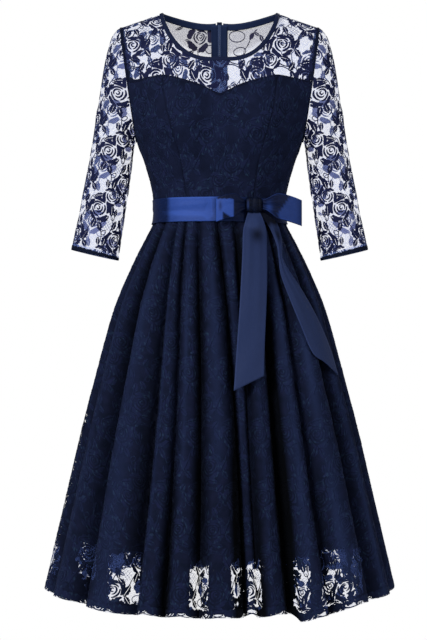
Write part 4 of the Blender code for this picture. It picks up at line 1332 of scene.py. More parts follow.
class Workshop:
    """Makes meshes, repeats the lace and the stitches, and attaches each piece to the dress's body."""

    def __init__(self) -> None:
        """Opens the dress's collection, and makes the trees and the small forms that they repeat."""
        self.collection = bpy.data.collections.new("dress_looks")
        bpy.context.scene.collection.children.link(self.collection)
        self.over = LayOver()
        self.along = RowAlong()
        self.motif = LaceTile().build("lace_repeat")
        self.back_motifs = {word: tile.build(f"lace_repeat_{word}") for word, tile in BACK_TILES.items()}
        self.stitch = pillow("stitch", 1.9 * MM, 0.5 * MM, 0.35 * MM)

    def add(self, name: str, mesh: Mesh, finish: Finish) -> Object:
        """Links a mesh as a piece with one finish.

        Args:
            name: its name.
            mesh: its mesh.
            finish: its finish.

        Returns:
            The new object.
        """
        mesh.materials.clear()
        mesh.materials.append(finish.material())
        piece = bpy.data.objects.new(name, mesh)
        self.collection.objects.link(piece)
        return piece

    def cloth(
        self,
        name: str,
        grid: Array,
        finish: Finish,
        flat: Array | None = None,
        wall: float = 0.0,
        axis: tuple[float, float] = (0.0, 0.0),
        closed: bool = False,
        offset: float = -1.0,
    ) -> Object:
        """A cloth from a grid of points, mapped by its flat coordinates.

        Args:
            name: the piece's name.
            grid: points by row and column.
            finish: its finish.
            flat: flat coordinates in metres; measured on the grid if None.
            wall: its thickness; 0 leaves a single surface.
            axis: an upright axis that the outside faces away from.
            closed: whether the last column is the first again.
            offset: -1 sets the thickness inwards, 0 on both sides.

        Returns:
            The new object.
        """
        flat = flat_of(grid) if flat is None else flat
        rows, columns = grid.shape[:2]
        kept = columns - 1 if closed else columns
        points = grid[:, :kept].reshape(-1, 3)
        r, c = np.meshgrid(np.arange(rows - 1), np.arange(columns - 1), indexing="ij")
        corners = [(r, c), (r, c + 1), (r + 1, c + 1), (r + 1, c)]
        normal = normals_of(grid)
        inward = (normal[..., :2] * (grid[..., :2] - np.array(axis))).sum() < 0
        if inward:
            corners.reverse()
        faces = np.stack([row * kept + column % kept for row, column in corners], -1).reshape(-1, 4)
        mapped = np.stack([flat[row, column] for row, column in corners], 2).reshape(-1, 2)
        mesh = mesh_of(name, points.tolist(), faces.tolist())
        layer = mesh.uv_layers.new(name=FLAT_UV)
        layer.data.foreach_set("uv", ((mapped + UV_CENTRE) * UV_SCALE).astype(np.float32).ravel())
        mesh.shade_smooth()
        piece = self.add(name, mesh, finish)
        if wall:
            thick = piece.modifiers.new("wall", "SOLIDIFY")
            thick.thickness = wall
            thick.offset = offset
        return piece

    def lay_lace(
        self,
        name: str,
        cloth: Object,
        finish: Finish,
        lift: float = LACE_LIFT,
        motif: Object | None = None,
    ) -> Object:
        """Lays the lace's repeat over a cloth, on the same lattice for every piece.

        Args:
            name: the lace's name.
            cloth: the cloth, mapped by its flat coordinates.
            finish: the lace's finish.
            lift: how far it stands off the cloth.
            motif: the repeat, if it isn't the common one.

        Returns:
            The lace.
        """
        uv = np.empty(len(cloth.data.loops) * 2, np.float32)
        cloth.data.uv_layers[FLAT_UV].data.foreach_get("uv", uv)
        flat = uv.reshape(-1, 2) / UV_SCALE - UV_CENTRE
        repeat = np.array(LACE_REPEAT) * MM
        first = np.floor(flat.min(0) / repeat) - 1
        columns, rows = (np.ceil(flat.max(0) / repeat) + 2 - first).astype(int)
        return self.over.run(
            self,
            name,
            cloth,
            finish,
            Motif=motif or self.motif,
            Columns=int(columns),
            Rows=int(rows),
            Wide=float(repeat[0]),
            High=float(repeat[1]),
            First=(*(first * repeat).tolist(), 0.0),
            Lift=lift,
        )

    def sew(
        self,
        name: str,
        lines: Sequence[tuple[Array, Array]],
        slot: str,
        finish: Finish = THREAD,
        step: float = 2.7 * MM,
        piece: Object | None = None,
    ) -> Object:
        """Sews rows of stitches along lines that lie on a cloth.

        Args:
            name: the stitches' name.
            lines: points and unit normals of each line.
            slot: a slot's name, passed on to give.
            finish: their finish.
            step: the way from one to the next.
            piece: what is repeated, if it isn't a stitch.

        Returns:
            The stitches.
        """
        start = seam_lines(name + "_lines", lines)
        made = self.along.run(self, name, start, finish, Piece=piece or self.stitch, Step=step)
        return self.give(made, slot)

    def mark(self, piece: Object, name: str, values: Array) -> None:
        """Keeps a share at each point of a cloth, for its finish to read.

        Args:
            piece: the cloth.
            name: the name that the finish reads.
            values: the shares by row and column.
        """
        kept = values.reshape(len(values), -1)[:, : len(piece.data.vertices) // len(values)]
        attribute = piece.data.attributes.new(name, "FLOAT", "POINT")
        attribute.data.foreach_set("value", kept.astype(np.float32).ravel())

    def sheet(
        self,
        piece: Object,
        grid: Array,
        held: str,
        rests_on: Sequence[str],
        with_pieces: Sequence[Object] = (),
        size: tuple[float, float] | None = None,
    ) -> None:
        """Works out a cloth's cut: its developed width, length and area, as cloth hardly stretches; the results
        are not kept.

        Args:
            piece: not used.
            grid: its points by row and column.
            held: not used.
            rests_on: the nodes that it lies on or hangs from.
            with_pieces: the trims that belong to the same cut.
            size: its flat width and length; measured along the grid's rows and columns if None.
        """
        across, down = np.diff(grid, axis=1), np.diff(grid, axis=0)
        wide, high = size or (np.linalg.norm(d, axis=2).sum(a).max() for d, a in ((across, 1), (down, 0)))
        wide, high = float(wide), float(high)
        area = float(np.linalg.norm(np.cross(across[:-1], down[:, :-1]), axis=2).sum())
        area = min(area, wide * high)
        flat, rests_on = (wide, high), list(rests_on)
        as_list(rests_on)
        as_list(with_pieces)

    def give(self, piece: Object, slot: str, *nodes: str) -> Object:
        """Makes a piece ride on its body and stand for solids.

        Args:
            piece: the piece.
            slot: not used.
            nodes: the solids that it replaces, if any.

        Returns:
            The same piece.
        """
        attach(piece, BODY)
        if nodes:
            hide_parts(*nodes)
        log.info("%s: %d faces", piece.name, len(piece.data.polygons))
        return piece


# ---------------------------------------------------------------- geometry nodes


class GeometryTree:
    """A Geometry Nodes tree with named inputs that makes one repeated form."""

    name = "tree"
    sockets: tuple[tuple[str, str], ...] = ()

    def __init__(self) -> None:
        """Opens the tree's sockets and builds its nodes."""
        self.tree = bpy.data.node_groups.new(self.name, "GeometryNodeTree")
        self.tree.interface.new_socket("Geometry", in_out="INPUT", socket_type="NodeSocketGeometry")
        self.ids = {}
        for name, kind in self.sockets:
            socket = self.tree.interface.new_socket(name, in_out="INPUT", socket_type=kind)
            self.ids[name] = socket.identifier
        self.tree.interface.new_socket("Geometry", in_out="OUTPUT", socket_type="NodeSocketGeometry")
        self.graph = Graph(self.tree)
        self.inputs = self.tree.nodes.new("NodeGroupInput")
        result = self.tree.nodes.new("NodeGroupOutput")
        self.graph.feed(result.inputs[0], self.build())

    def given(self, name: str) -> Field:
        """One of the tree's inputs."""
        return Field(self.graph, self.inputs.outputs[name])

    def build(self) -> Field:
        """Builds the nodes and returns the last one's geometry."""
        raise NotImplementedError

    def stored(self, shape: Field, kind: str, name: str, value: Field, domain: str = "POINT") -> Field:
        """Keeps a value on the geometry under a name.

        Args:
            shape: the geometry.
            kind: the type of the value.
            name: its name.
            value: the value.
            domain: where it is kept.

        Returns:
            The geometry with it.
        """
        settings = {"data_type": kind, "domain": domain}
        values = {"Geometry": shape, "Name": name, "Value": value}
        return self.graph.add("GeometryNodeStoreNamedAttribute", settings, values)

    def named(self, kind: str, name: str) -> Field:
        """Reads a value that the geometry keeps under a name."""
        return self.graph.add("GeometryNodeInputNamedAttribute", {"data_type": kind}, {"Name": name})

    def finished(self, shape: Field) -> Field:
        """Realizes the instances and sets their finish."""
        real = self.graph.add("GeometryNodeRealizeInstances", {}, {0: shape})
        values = {"Geometry": real, "Material": self.given("Finish")}
        return self.graph.add("GeometryNodeSetMaterial", {}, values)

    def run(
        self, workshop: Workshop, name: str, start: Object, finish: Finish, **values: Value
    ) -> Object:
        """Runs the tree on an object and keeps the result as a plain mesh.

        Args:
            workshop: where the new piece is linked.
            name: the new piece's name.
            start: the object whose geometry the tree takes.
            finish: the finish of the new piece.
            values: the tree's inputs by name, with _ for a space.

        Returns:
            The new piece.
        """
        holder = bpy.data.objects.new(name + "_start", start.data)
        workshop.collection.objects.link(holder)
        modifier = holder.modifiers.new(self.name, "NODES")
        modifier.node_group = self.tree
        for key, value in {**values, "Finish": finish.material()}.items():
            modifier[self.ids[key.replace("_", " ")]] = value
        evaluated = holder.evaluated_get(bpy.context.evaluated_depsgraph_get())
        mesh = bpy.data.meshes.new_from_object(evaluated)
        mesh.name = name
        bpy.data.objects.remove(holder)
        return workshop.add(name, mesh, finish)


class LayOver(GeometryTree):
    """Repeats a flat motif over a cloth, and bends it to the cloth by its flat map."""

    name = "lay_motif_over_cloth"
    sockets = (
        ("Motif", "NodeSocketObject"),
        ("Columns", "NodeSocketInt"),
        ("Rows", "NodeSocketInt"),
        ("Wide", "NodeSocketFloat"),
        ("High", "NodeSocketFloat"),
        ("First", "NodeSocketVector"),
        ("Lift", "NodeSocketFloat"),
        ("Finish", "NodeSocketMaterial"),
    )

    def build(self) -> Field:
        """Instances the motif on a flat grid, then moves every point to the cloth."""
        g = self.graph
        columns, rows = self.given("Columns"), self.given("Rows")
        wide, high = self.given("Wide"), self.given("High")
        sizes = {"Size X": (columns - 1) * wide, "Size Y": (rows - 1) * high}
        spots = g.add("GeometryNodeMeshGrid", {}, {**sizes, "Vertices X": columns, "Vertices Y": rows})
        half = g.add("ShaderNodeCombineXYZ", {}, {"X": sizes["Size X"] / 2, "Y": sizes["Size Y"] / 2})
        spots = g.add("GeometryNodeSetPosition", {}, {"Geometry": spots, "Offset": half + self.given("First")})
        motif = g.add("GeometryNodeObjectInfo", {}, {"Object": self.given("Motif")}, "Geometry")
        laid = g.add("GeometryNodeInstanceOnPoints", {}, {"Points": spots, "Instance": motif})
        laid = g.add("GeometryNodeRealizeInstances", {}, {0: laid})
        place = g.add("GeometryNodeInputPosition")
        spot = (place + (UV_CENTRE, UV_CENTRE, 0.0)) * (UV_SCALE, UV_SCALE, 0.0)
        laid = self.stored(laid, "FLOAT2", FLAT_UV, spot, "CORNER")
        on_cloth = self.under(spot, "FLOAT_VECTOR", place)
        out = self.under(spot, "FLOAT_VECTOR", g.add("GeometryNodeInputNormal"))
        # carries the cloth's mark of painted shade and painted highlight over to the lace
        sunk = self.under(spot, "FLOAT", self.named("FLOAT", PAINTED_SHADE))
        there = on_cloth + out * (place.part("Z") + self.given("Lift"))
        astray = g.add("FunctionNodeBooleanMath", {"operation": "NOT"}, {0: on_cloth.beside("Is Valid")})
        laid = self.stored(laid, "BOOLEAN", "astray", astray)
        laid = self.stored(laid, "FLOAT_VECTOR", "out", out)
        laid = self.stored(laid, "FLOAT", PAINTED_SHADE, sunk)
        bent = g.add("GeometryNodeSetPosition", {}, {"Geometry": laid, "Position": there})
        missed = self.named("BOOLEAN", "astray")
        kept = g.add("GeometryNodeDeleteGeometry", {"domain": "POINT"}, {"Geometry": bent, "Selection": missed})
        facing = g.add("GeometryNodeInputNormal")
        values = {0: facing, 1: self.named("FLOAT_VECTOR", "out")}
        dot = g.add("ShaderNodeVectorMath", {"operation": "DOT_PRODUCT"}, values, "Value")
        inward = g.add("FunctionNodeCompare", {"operation": "LESS_THAN"}, {"A": dot, "B": 0.0})
        kept = g.add("GeometryNodeFlipFaces", {}, {"Mesh": kept, "Selection": inward})
        for name in ("astray", "out"):
            kept = g.add("GeometryNodeRemoveAttribute", {}, {"Geometry": kept, "Name": name})
        return self.finished(kept)

    def under(self, spot: Field, kind: str, value: Field) -> Field:
        """A value of the cloth at a place of its flat map.

        Args:
            spot: places on the flat map.
            kind: the type of the value.
            value: the value on the cloth.

        Returns:
            The value at those places.
        """
        flat = self.named("FLOAT_VECTOR", FLAT_UV)
        values = {"Mesh": self.given("Geometry"), "UV Map": flat, "Sample UV": spot, "Value": value}
        return self.graph.add("GeometryNodeSampleUVSurface", {"data_type": kind}, values)


class RowAlong(GeometryTree):
    """Repeats a small piece at even steps along seam lines, standing on the cloth."""

    name = "row_along_seam"
    sockets = (("Piece", "NodeSocketObject"), ("Step", "NodeSocketFloat"), ("Finish", "NodeSocketMaterial"))

    def build(self) -> Field:
        """Walks along each line, and turns the piece's X along it and its Z out of the cloth."""
        g = self.graph
        lines = g.add("GeometryNodeMeshToCurve", {}, {"Mesh": self.given("Geometry")})
        values = {"Curve": lines, "Length": self.given("Step")}
        spots = g.add("GeometryNodeCurveToPoints", {"mode": "LENGTH"}, values)
        tangent = spots.beside("Tangent")
        out = self.named("FLOAT_VECTOR", "out")
        settings = {"primary_axis": "X", "secondary_axis": "Z"}
        turn = g.add("FunctionNodeAxesToRotation", settings, {"Primary Axis": tangent, "Secondary Axis": out})
        piece = g.add("GeometryNodeObjectInfo", {}, {"Object": self.given("Piece")}, "Geometry")
        values = {"Points": spots, "Instance": piece, "Rotation": turn}
        return self.finished(g.add("GeometryNodeInstanceOnPoints", {}, values))


def seam_lines(name: str, lines: Sequence[tuple[Array, Array]]) -> Object:
    """An object of open lines, each with the way out of the cloth at its points.

    Args:
        name: the object's name.
        lines: points and unit normals of each line.

    Returns:
        An object that isn't in the scene's collection.
    """
    points = np.concatenate([line for line, _ in lines])
    normals = np.concatenate([normal for _, normal in lines])
    edges, start = [], 0
    for line, _ in lines:
        edges += [(start + k, start + k + 1) for k in range(len(line) - 1)]
        start += len(line)
    mesh = mesh_of(name, points.tolist(), [], edges)
    attribute = mesh.attributes.new("out", "FLOAT_VECTOR", "POINT")
    attribute.data.foreach_set("vector", normals.astype(np.float32).ravel())
    return bpy.data.objects.new(name, mesh)


def pillow(name: str, long: float, wide: float, high: float) -> Object:
    """A small rounded bar along X, for a stitch or a zip tooth.

    Args:
        name: its name.
        long: its length along X.
        wide: its width along Y.
        high: its height, from 0.

    Returns:
        An object that isn't in the scene's collection.
    """
    points, faces = [], []
    stations = ((-0.5, 0.35), (-0.3, 1.0), (0.3, 1.0), (0.5, 0.35))
    for x, size in stations:
        for y, z in ((-0.5, 0.0), (-0.3, 0.8), (0.3, 0.8), (0.5, 0.0)):
            points.append((x * long, y * size * wide, z * size * high))
    for station in range(len(stations) - 1):
        for side in range(4):
            low, after = 4 * station, (side + 1) % 4
            faces.append((low + side, low + 4 + side, low + 4 + after, low + after))
    faces += [(0, 1, 2, 3), (15, 14, 13, 12)]
    mesh = mesh_of(name, points, faces)
    with opened(mesh) as work:
        bmesh.ops.recalc_face_normals(work, faces=work.faces[:])
    mesh.shade_smooth()
    return bpy.data.objects.new(name, mesh)


# ---------------------------------------------------------------- studio


@dataclass
class Studio:
    """The pale floor, the white surround, soft lights and the camera."""

    eye: tuple[float, float, float] = (-0.0105, -2.5, -0.527)
    aim: tuple[float, float, float] = (0.0, 0.0, -0.5)
    focal_mm: float = 81.73
    sensor_mm: float = 36.0
    floor_z: float = -1.38
    floor_reach: float = 1.3
    surround: float = 1.0
    ambient: float = 0.22

    def build(self) -> None:
        """Makes the whole studio."""
        self.camera()
        self.floor()
        self.world()
        self.light("key", (-2.0, -2.6, 1.1), (1.2, 1.2), 84.0)
        self.light("fill", (2.4, -2.2, 0.2), (1.4, 1.4), 25.0)
        self.light("rim", (0.8, 2.4, 1.2), (1.6, 1.2), 18.0)
        bpy.context.scene.view_settings.view_transform = "Standard"

    def put(self, name: str, data: ID) -> Object:
        """Links a new object to the scene's own collection."""
        thing = bpy.data.objects.new(name, data)
        bpy.context.scene.collection.objects.link(thing)
        return thing

    def camera(self) -> None:
        """Sets the camera level, looking straight at the dress's middle."""
        data = bpy.data.cameras.new("camera")
        data.sensor_fit = "AUTO"
        data.sensor_width = self.sensor_mm
        data.lens = self.focal_mm
        camera = self.put("camera", data)
        camera.location = self.eye
        camera.rotation_euler = (pi / 2, 0.0, 0.0)
        bpy.context.scene.camera = camera

    def floor(self) -> None:
        """A plain pale floor far below the hem."""
        rim = spread(128, 0.0, tau * 127 / 128)
        rim = stack(np.cos(rim) * self.floor_reach, np.sin(rim) * self.floor_reach, self.floor_z)
        mesh = mesh_of("floor", rim.tolist(), [tuple(range(len(rim)))])
        floor = self.put("floor", mesh)
        material = bpy.data.materials.new("floor")
        material.use_nodes = True
        graph = Graph(material.node_tree)
        shader = material.node_tree.nodes["Principled BSDF"]
        place = graph.add("ShaderNodeTexCoord", {}, {}, "Object")
        tone = graph.blend(graph.noise(place, 0.4), (0.93, 0.93, 0.94), (0.97, 0.97, 0.97))
        graph.feed(shader.inputs["Base Color"], tone)
        graph.feed(shader.inputs["Roughness"], 0.9)
        mesh.materials.append(material)

    def world(self) -> None:
        """A white surround that lights the dress more softly than it shows."""
        world = bpy.data.worlds.new("surround")
        world.use_nodes = True
        bpy.context.scene.world = world
        graph = Graph(world.node_tree)
        shown = graph.add("ShaderNodeLightPath", {}, {}, "Is Camera Ray")
        shade = world.node_tree.nodes["Background"]
        graph.feed(shade.inputs["Color"], (1.0, 1.0, 1.0))
        graph.feed(shade.inputs["Strength"], shown * (self.surround - self.ambient) + self.ambient)

    def light(self, name: str, place: Sequence[float], size: tuple[float, float], watts: float) -> None:
        """Adds a soft panel light that faces the dress.

        Args:
            name: the lamp's name.
            place: where it stands.
            size: its width and height.
            watts: its power.
        """
        data = bpy.data.lights.new(name, "AREA")
        data.shape = "RECTANGLE"
        data.size, data.size_y = size
        data.energy = watts
        lamp = self.put(name, data)
        lamp.location = place
        lamp.rotation_euler = (Vector(self.aim) - Vector(place)).to_track_quat("-Z", "Y").to_euler()


# ---------------------------------------------------------------- yoke and bodice


@dataclass
class Assembly:
    """A part of the dress, made in the shared workshop."""

    shop: Workshop

    def build(self) -> None:
        """Builds and dresses every piece of the part."""
        raise NotImplementedError


@dataclass
class Yoke(Assembly):
    """The sheer lace above the bodice: a front, and a back half on each side of the zip."""

    under_binding: float = 3.0 * MM
    seam_gap: float = 0.3 * MM
    under_bodice: float = 3.0 * MM
    beyond_armhole: float = 1.5 * MM
    corner: float = 0.46
    # the patch by the back neck whose net is painted in shade and drawn thicker: half width, half height and
    # middle height along the cloth
    neck_lace: tuple[float, float, float] = (0.096, 0.074, 0.012)
    neck_lace_reach: float = 1.4
    neck_lace_fade: float = 0.25
    across: int = 61
    down: int = 24

    def build(self) -> None:
        """Builds and dresses the three pieces."""
        self.piece("front", Side.FRONT, (-1, 1))
        self.piece("back_left", Side.BACK, (0, 1))
        self.piece("back_right", Side.BACK, (-1, 0))

    def outline(self, side: Side, turn: Array) -> tuple[Array, Array]:
        """The outer edge in (x, flat height); turn runs from -1 to 1, shoulder to shoulder.

        Args:
            side: front or back.
            turn: places along the edge; the armholes are the outer parts.

        Returns:
            x and the height along the cloth.
        """
        size = np.abs(turn)
        lift = np.clip((size - self.corner) / (1 - self.corner), 0.0, 1.0)
        arm_x = TORSO.armhole_x(lift)
        quarter = np.arcsin(lift)
        arm_height = TORSO.height(side, arm_x, quarter if side is Side.FRONT else pi - quarter)
        base_x = np.minimum(size / self.corner, 1.0) * TORSO.foot_half_width()
        low = size < self.corner
        x = np.where(low, base_x, arm_x + self.beyond_armhole * eased(lift * 4))
        return np.sign(turn) * x, np.where(low, top_edge(side, base_x) - self.under_bodice, arm_height)

    def grid(self, side: Side, ends: tuple[int, int]) -> tuple[Array, Array]:
        """Points and flat places of a piece, from the neck to its outer edge.

        Args:
            side: front or back.
            ends: the shoulders between which it runs, 0 for the zip.

        Returns:
            Points, and their flat places.
        """
        turn = spread(self.across if side is Side.FRONT else self.across // 2 + 1, *ends)
        x, height = self.outline(side, turn)
        bearing = turn * pi / 2
        if side is Side.BACK:
            bearing = np.sign(turn + 1e-9 * sum(ends)) * pi - bearing
        bearing = np.clip(bearing, -pi * 0.9999, pi * 0.9999)
        neck_x, neck_turn = TORSO.beyond_neck(bearing, self.under_binding)
        neck_height = TORSO.height(side, neck_x, neck_turn)
        share = spread(self.down)[:, None]
        flat_x, flat_v = mix(neck_x, x, share), mix(neck_height, height, share)
        points = TORSO.point(side, flat_x, flat_v)
        points[..., 1] += side.value * self.seam_gap / 2
        return points, np.stack([flat_x if side is Side.FRONT else np.abs(flat_x), flat_v], -1)

    def piece(self, word: str, side: Side, ends: tuple[int, int]) -> None:
        """Builds one piece: its net, and the flowers on it.

        Args:
            word: which piece.
            side: front or back.
            ends: the shoulders between which it runs, 0 for the zip.
        """
        grid, flat = self.grid(side, ends)
        net = self.shop.cloth(f"net_yoke_{word}", grid, NET, flat)
        motif = self.shop.back_motifs.get(word)
        edge = eased(spread(self.down) * (self.down - 1) - self.down + 2.6) * 1.3
        self.shop.mark(net, CLOSE, edge[:, None] + 0 * flat[..., 0])
        if side is Side.BACK:
            # the back neck's net is painted darker as shade, with thicker threads
            half_width, half_height, middle = self.neck_lace
            away = (flat[..., 0] / half_width) ** 2 + ((middle - flat[..., 1]) / half_height) ** 2
            self.shop.mark(net, SHADED_THREADS, eased((self.neck_lace_reach - away) / self.neck_lace_fade))
        lace = self.shop.lay_lace(f"lace_yoke_{word}", net, LACE, motif=motif)
        # the inner face is a copy of the lace painted lighter, as painted light
        inside = LACE_BACK_LIT if side is Side.FRONT else LACE_INSIDE_LIT
        reverse = self.shop.lay_lace(f"reverse_yoke_{word}", net, inside, REVERSE_LIFT, motif)
        self.shop.give(net, "lace", f"yoke_{word}")
        self.shop.give(lace, "lace")
        self.shop.give(reverse, "lace")
        arm_x = float(TORSO.armhole_x(np.array(0.5)))
        low, high = float(flat[..., 1].min()), float(flat[..., 1].max())
        lines = TORSO.point(side, spread(41, *ends) * arm_x, spread(9, low, high)[:, None])
        size = gaps(lines, 1).sum(1).max(), np.ptp(flat[..., 1])
        self.shop.sheet(net, grid, "hung", ["neck_binding"], [lace, reverse], size)


Line = Callable[[Array], Array]


@dataclass
class Bodice(Assembly):
    """The fitted bodice: five panels of lace over opaque cloth, and the bands on its top edge."""

    seam_gap: float = 0.3 * MM
    out: float = 0.9 * MM
    wall: float = 1.2 * MM
    band_height: float = 5.5 * MM
    band_out: float = 1.5 * MM
    band_wall: float = 0.5 * MM
    zip_share: float = 0.004
    creases: tuple[Crease, ...] = table(
        Crease,
        (0.062, -0.262, 0.085, 0.007, 96, 0.0016),
        (0.078, -0.28, 0.06, 0.006, 104, -0.0012),
        (-0.07, -0.285, 0.07, 0.008, 84, 0.0012),
        (-0.04, -0.312, 0.06, 0.005, 12, 0.001),
        (0.02, -0.316, 0.08, 0.005, -8, 0.0012),
        (-0.094, -0.24, 0.06, 0.007, 60, -0.001),
        (0.1, -0.236, 0.055, 0.006, 122, 0.0011),
        (0.000, -0.205, 0.07, 0.01, 4, -0.001),
    )
    back_creases: tuple[Crease, ...] = table(
        Crease,
        (0.05, -0.285, 0.08, 0.007, 84, 0.0014),
        (-0.055, -0.27, 0.07, 0.007, 97, -0.0012),
        (0.075, -0.22, 0.07, 0.008, 140, 0.0012),
        (-0.08, -0.215, 0.06, 0.007, 38, 0.0011),
        (0.025, -0.31, 0.06, 0.005, 6, -0.001),
        (-0.028, -0.322, 0.055, 0.005, -5, 0.001),
    )

    def build(self) -> None:
        """Builds and dresses every panel and band."""
        half = self.seam_gap / 2
        seam = Profile(PRINCESS, "x")
        front = self.band("front", Side.FRONT, spread(91, -1, 1))
        self.panel("front", Side.FRONT, lambda z: half - seam(z), lambda z: seam(z) - half, 36, front)
        for arm in Arm:
            word, way = arm.name.lower(), arm.value

            def seam_side(z: Array, way: int = way) -> Array:
                """The side panel's front seam."""
                return way * (seam(z) + half)

            def underarm(z: Array, way: int = way) -> Array:
                """The seam under the arm."""
                return way * TORSO.edge(z)

            def zip_edge(z: Array, way: int = way) -> Array:
                """The back panel's edge beside the zip."""
                return np.full(np.shape(z), way * self.seam_gap)

            self.panel(f"side_{word}", Side.FRONT, seam_side, underarm, 26)
            turn = spread(46, self.zip_share, 1) if way > 0 else spread(46, -1, -self.zip_share)
            back = self.band(f"back_{word}", Side.BACK, turn)
            self.panel(f"back_{word}", Side.BACK, zip_edge, underarm, 34, back)

    def grid(self, side: Side, left: Line, right: Line, columns: int, rows: int) -> Array:
        """Points between two seam lines, from the top edge to the waist.

        Args:
            side: front or back.
            left: x of its first seam at a level.
            right: x of its last seam.
            columns: points across.
            rows: points down.

        Returns:
            An array of points.
        """
        across, down = spread(columns)[None, :], spread(rows)[:, None]
        level = np.full((rows, columns), TORSO.base)
        for _ in range(6):
            edge = TORSO.edge(level)
            low = np.arcsin(np.clip(left(level) / edge, -1, 1))
            high = np.arcsin(np.clip(right(level) / edge, -1, 1))
            x = edge * np.sin(mix(low, high, across))
            level = mix(top_edge(side, x) - self.seam_gap / 2, WAIST_SEAM + self.seam_gap / 2, down**0.9)
        points = TORSO.point(side, x, TORSO.height_of_level(side, x, level))
        points[..., 1] += side.value * self.seam_gap / 2
        return points

    def panel(
        self,
        word: str,
        side: Side,
        left: Line,
        right: Line,
        columns: int,
        trims: Sequence[Object] = (),
    ) -> None:
        """Builds one panel and lays the lace over it.

        Args:
            word: which panel.
            side: front or back.
            left: x of its first seam at a level.
            right: x of its last seam at a level.
            columns: how many points across it has.
            trims: the pieces on its top edge.
        """
        plain = self.grid(side, left, right, columns, 44)
        creases = self.creases if side is Side.FRONT else self.back_creases
        lift = creased(creases, plain[..., 0], plain[..., 2]) * eased((plain[..., 2] - SASH_TOP) / 0.02)
        ends = np.sin(pi * spread(columns)) ** 0.35
        grid = plain + outward(plain) * (self.out + lift * ends)[..., None]
        flat = flat_of(grid)
        flat[..., 1] = plain[..., 2]
        flat[..., 0] += plain[0, columns // 2, 0]
        cloth = self.shop.cloth(f"bodice_cloth_{word}", grid, BODICE_CLOTH, flat, self.wall)
        lace = self.shop.lay_lace(f"lace_bodice_{word}", cloth, LACE_OVER)
        self.shop.give(cloth, "bodice_cloth", f"bodice_{word}")
        self.shop.give(lace, "lace")
        self.shop.sheet(cloth, grid, "stretched", ["sash"], [lace, *trims])

    def band(self, word: str, side: Side, turn: Array) -> list[Object]:
        """Builds the narrow facing along the top edge, and its stitches.

        Args:
            word: which band.
            side: front or back.
            turn: places across, -1 and 1 at the armholes.

        Returns:
            The band and its stitches.
        """
        x = np.sin(turn * pi / 2) * TORSO.foot_half_width()
        level = top_edge(side, x) - spread(5)[:, None] * self.band_height
        points = TORSO.point(side, x + 0 * level, TORSO.height_of_level(side, x, level))
        crown = np.sin(pi * spread(5))[:, None] * 0.5 * MM
        grid = points + outward(points) * (self.band_out - 0.6 * MM + crown)[..., None]
        band = self.shop.cloth(f"edge_band_{word}", grid, SEAM, wall=self.band_wall)
        self.shop.give(band, "bodice_cloth")
        return [band, self.shop.sew(f"stitches_edge_{word}", sewn_rows(grid, (1, 3)), "bodice_cloth")]


@dataclass
class Binding(Assembly):
    """The rolled binding round the neck, open behind where the slider sits."""

    width: float = 7.5 * MM
    half_thickness: float = 1.45 * MM
    end: float = 6.7 * MM
    seam_share: float = 0.86
    cut_share: float = 1.36
    facing_width: float = 11.5 * MM
    facing_inset: float = 1.9 * MM
    stations: int = 181
    sides: int = 16

    def build(self) -> None:
        """Sweeps the roll round the neck and closes its ends."""
        limit = pi - math.asin((self.end / TORSO.neck_half_width) ** (TORSO.neck_power_back / 2))
        bearing = spread(self.stations, -limit, limit)
        angle = spread(self.sides + 1, 0, tau)
        away = self.width / 2 * (1 + swung(np.cos(angle), 0.85))
        base = np.stack([TORSO.round_neck(bearing, step) for step in away])
        across = TORSO.round_neck(bearing, self.width) - TORSO.round_neck(bearing, 0.0)
        normal = unit(np.cross(np.gradient(base[0], axis=0), across))
        normal *= -np.sign(normal[self.stations // 2, 1])
        height = self.half_thickness * swung(np.sin(angle), 0.8)
        ripple = 1 + 0.05 * np.sin(bearing * 47.0) * np.sin(bearing * 13.0)
        rings = base + normal[None] * height[:, None, None] * ripple[None, :, None]
        grid = rings.transpose(1, 0, 2)
        piece = self.shop.cloth("binding_roll", grid, BINDING_SATIN, closed=True)
        cap_ends(piece, self.sides)
        self.shop.give(piece, "binding", "neck_binding")
        for arm in Arm:
            self.facing(arm, limit)
        foot = TORSO.round_neck(bearing, self.width * self.seam_share)
        line = foot + normal * self.half_thickness * self.seam_share
        sewn = self.shop.sew("stitches_binding", [(line, normal)], "binding")
        flat = self.cut_share * self.width, float(gaps(grid[:, 0]).sum())

    def facing(self, arm: Arm, limit: float) -> None:
        """Builds the tape that covers the back neck's seam on the inside, from a shoulder to the zip.

        Args:
            arm: which side.
            limit: the bearing of its end at the zip.
        """
        bearing = arm.value * spread(61, pi * 0.46, limit)
        away = spread(6, 0.3 * MM, self.facing_width)
        grid = np.stack([TORSO.round_neck(bearing, step) for step in away])
        grid = grid - outward(grid, (0.0, 0.02)) * self.facing_inset
        tape = self.shop.cloth(f"facing_{arm.name.lower()}", grid, TAPE, wall=0.7 * MM, offset=0.0)
        self.shop.give(tape, "binding")
        self.shop.sheet(tape, grid, "stretched", [f"yoke_back_{arm.name.lower()}"])


def sewn_rows(
    grid: Array, rows: Sequence[int], axis: tuple[float, float] = (0.0, 0.0)
) -> list[tuple[Array, Array]]:
    """Lines of stitches along some rows of a cloth, a little above it."""
    normal = outward(grid, axis)
    return [(grid[row] + normal[row] * 0.1 * MM, normal[row]) for row in rows]


def cap_ends(piece: Object, sides: int) -> None:
    """Closes both ends of a tube, and makes its faces point outwards.

    Args:
        piece: the tube.
        sides: how many points its rings have.
    """
    with opened(piece.data) as work:
        edges = [edge for edge in work.edges if edge.is_boundary]
        bmesh.ops.holes_fill(work, edges=edges, sides=sides + 2)
        bmesh.ops.recalc_face_normals(work, faces=work.faces[:])


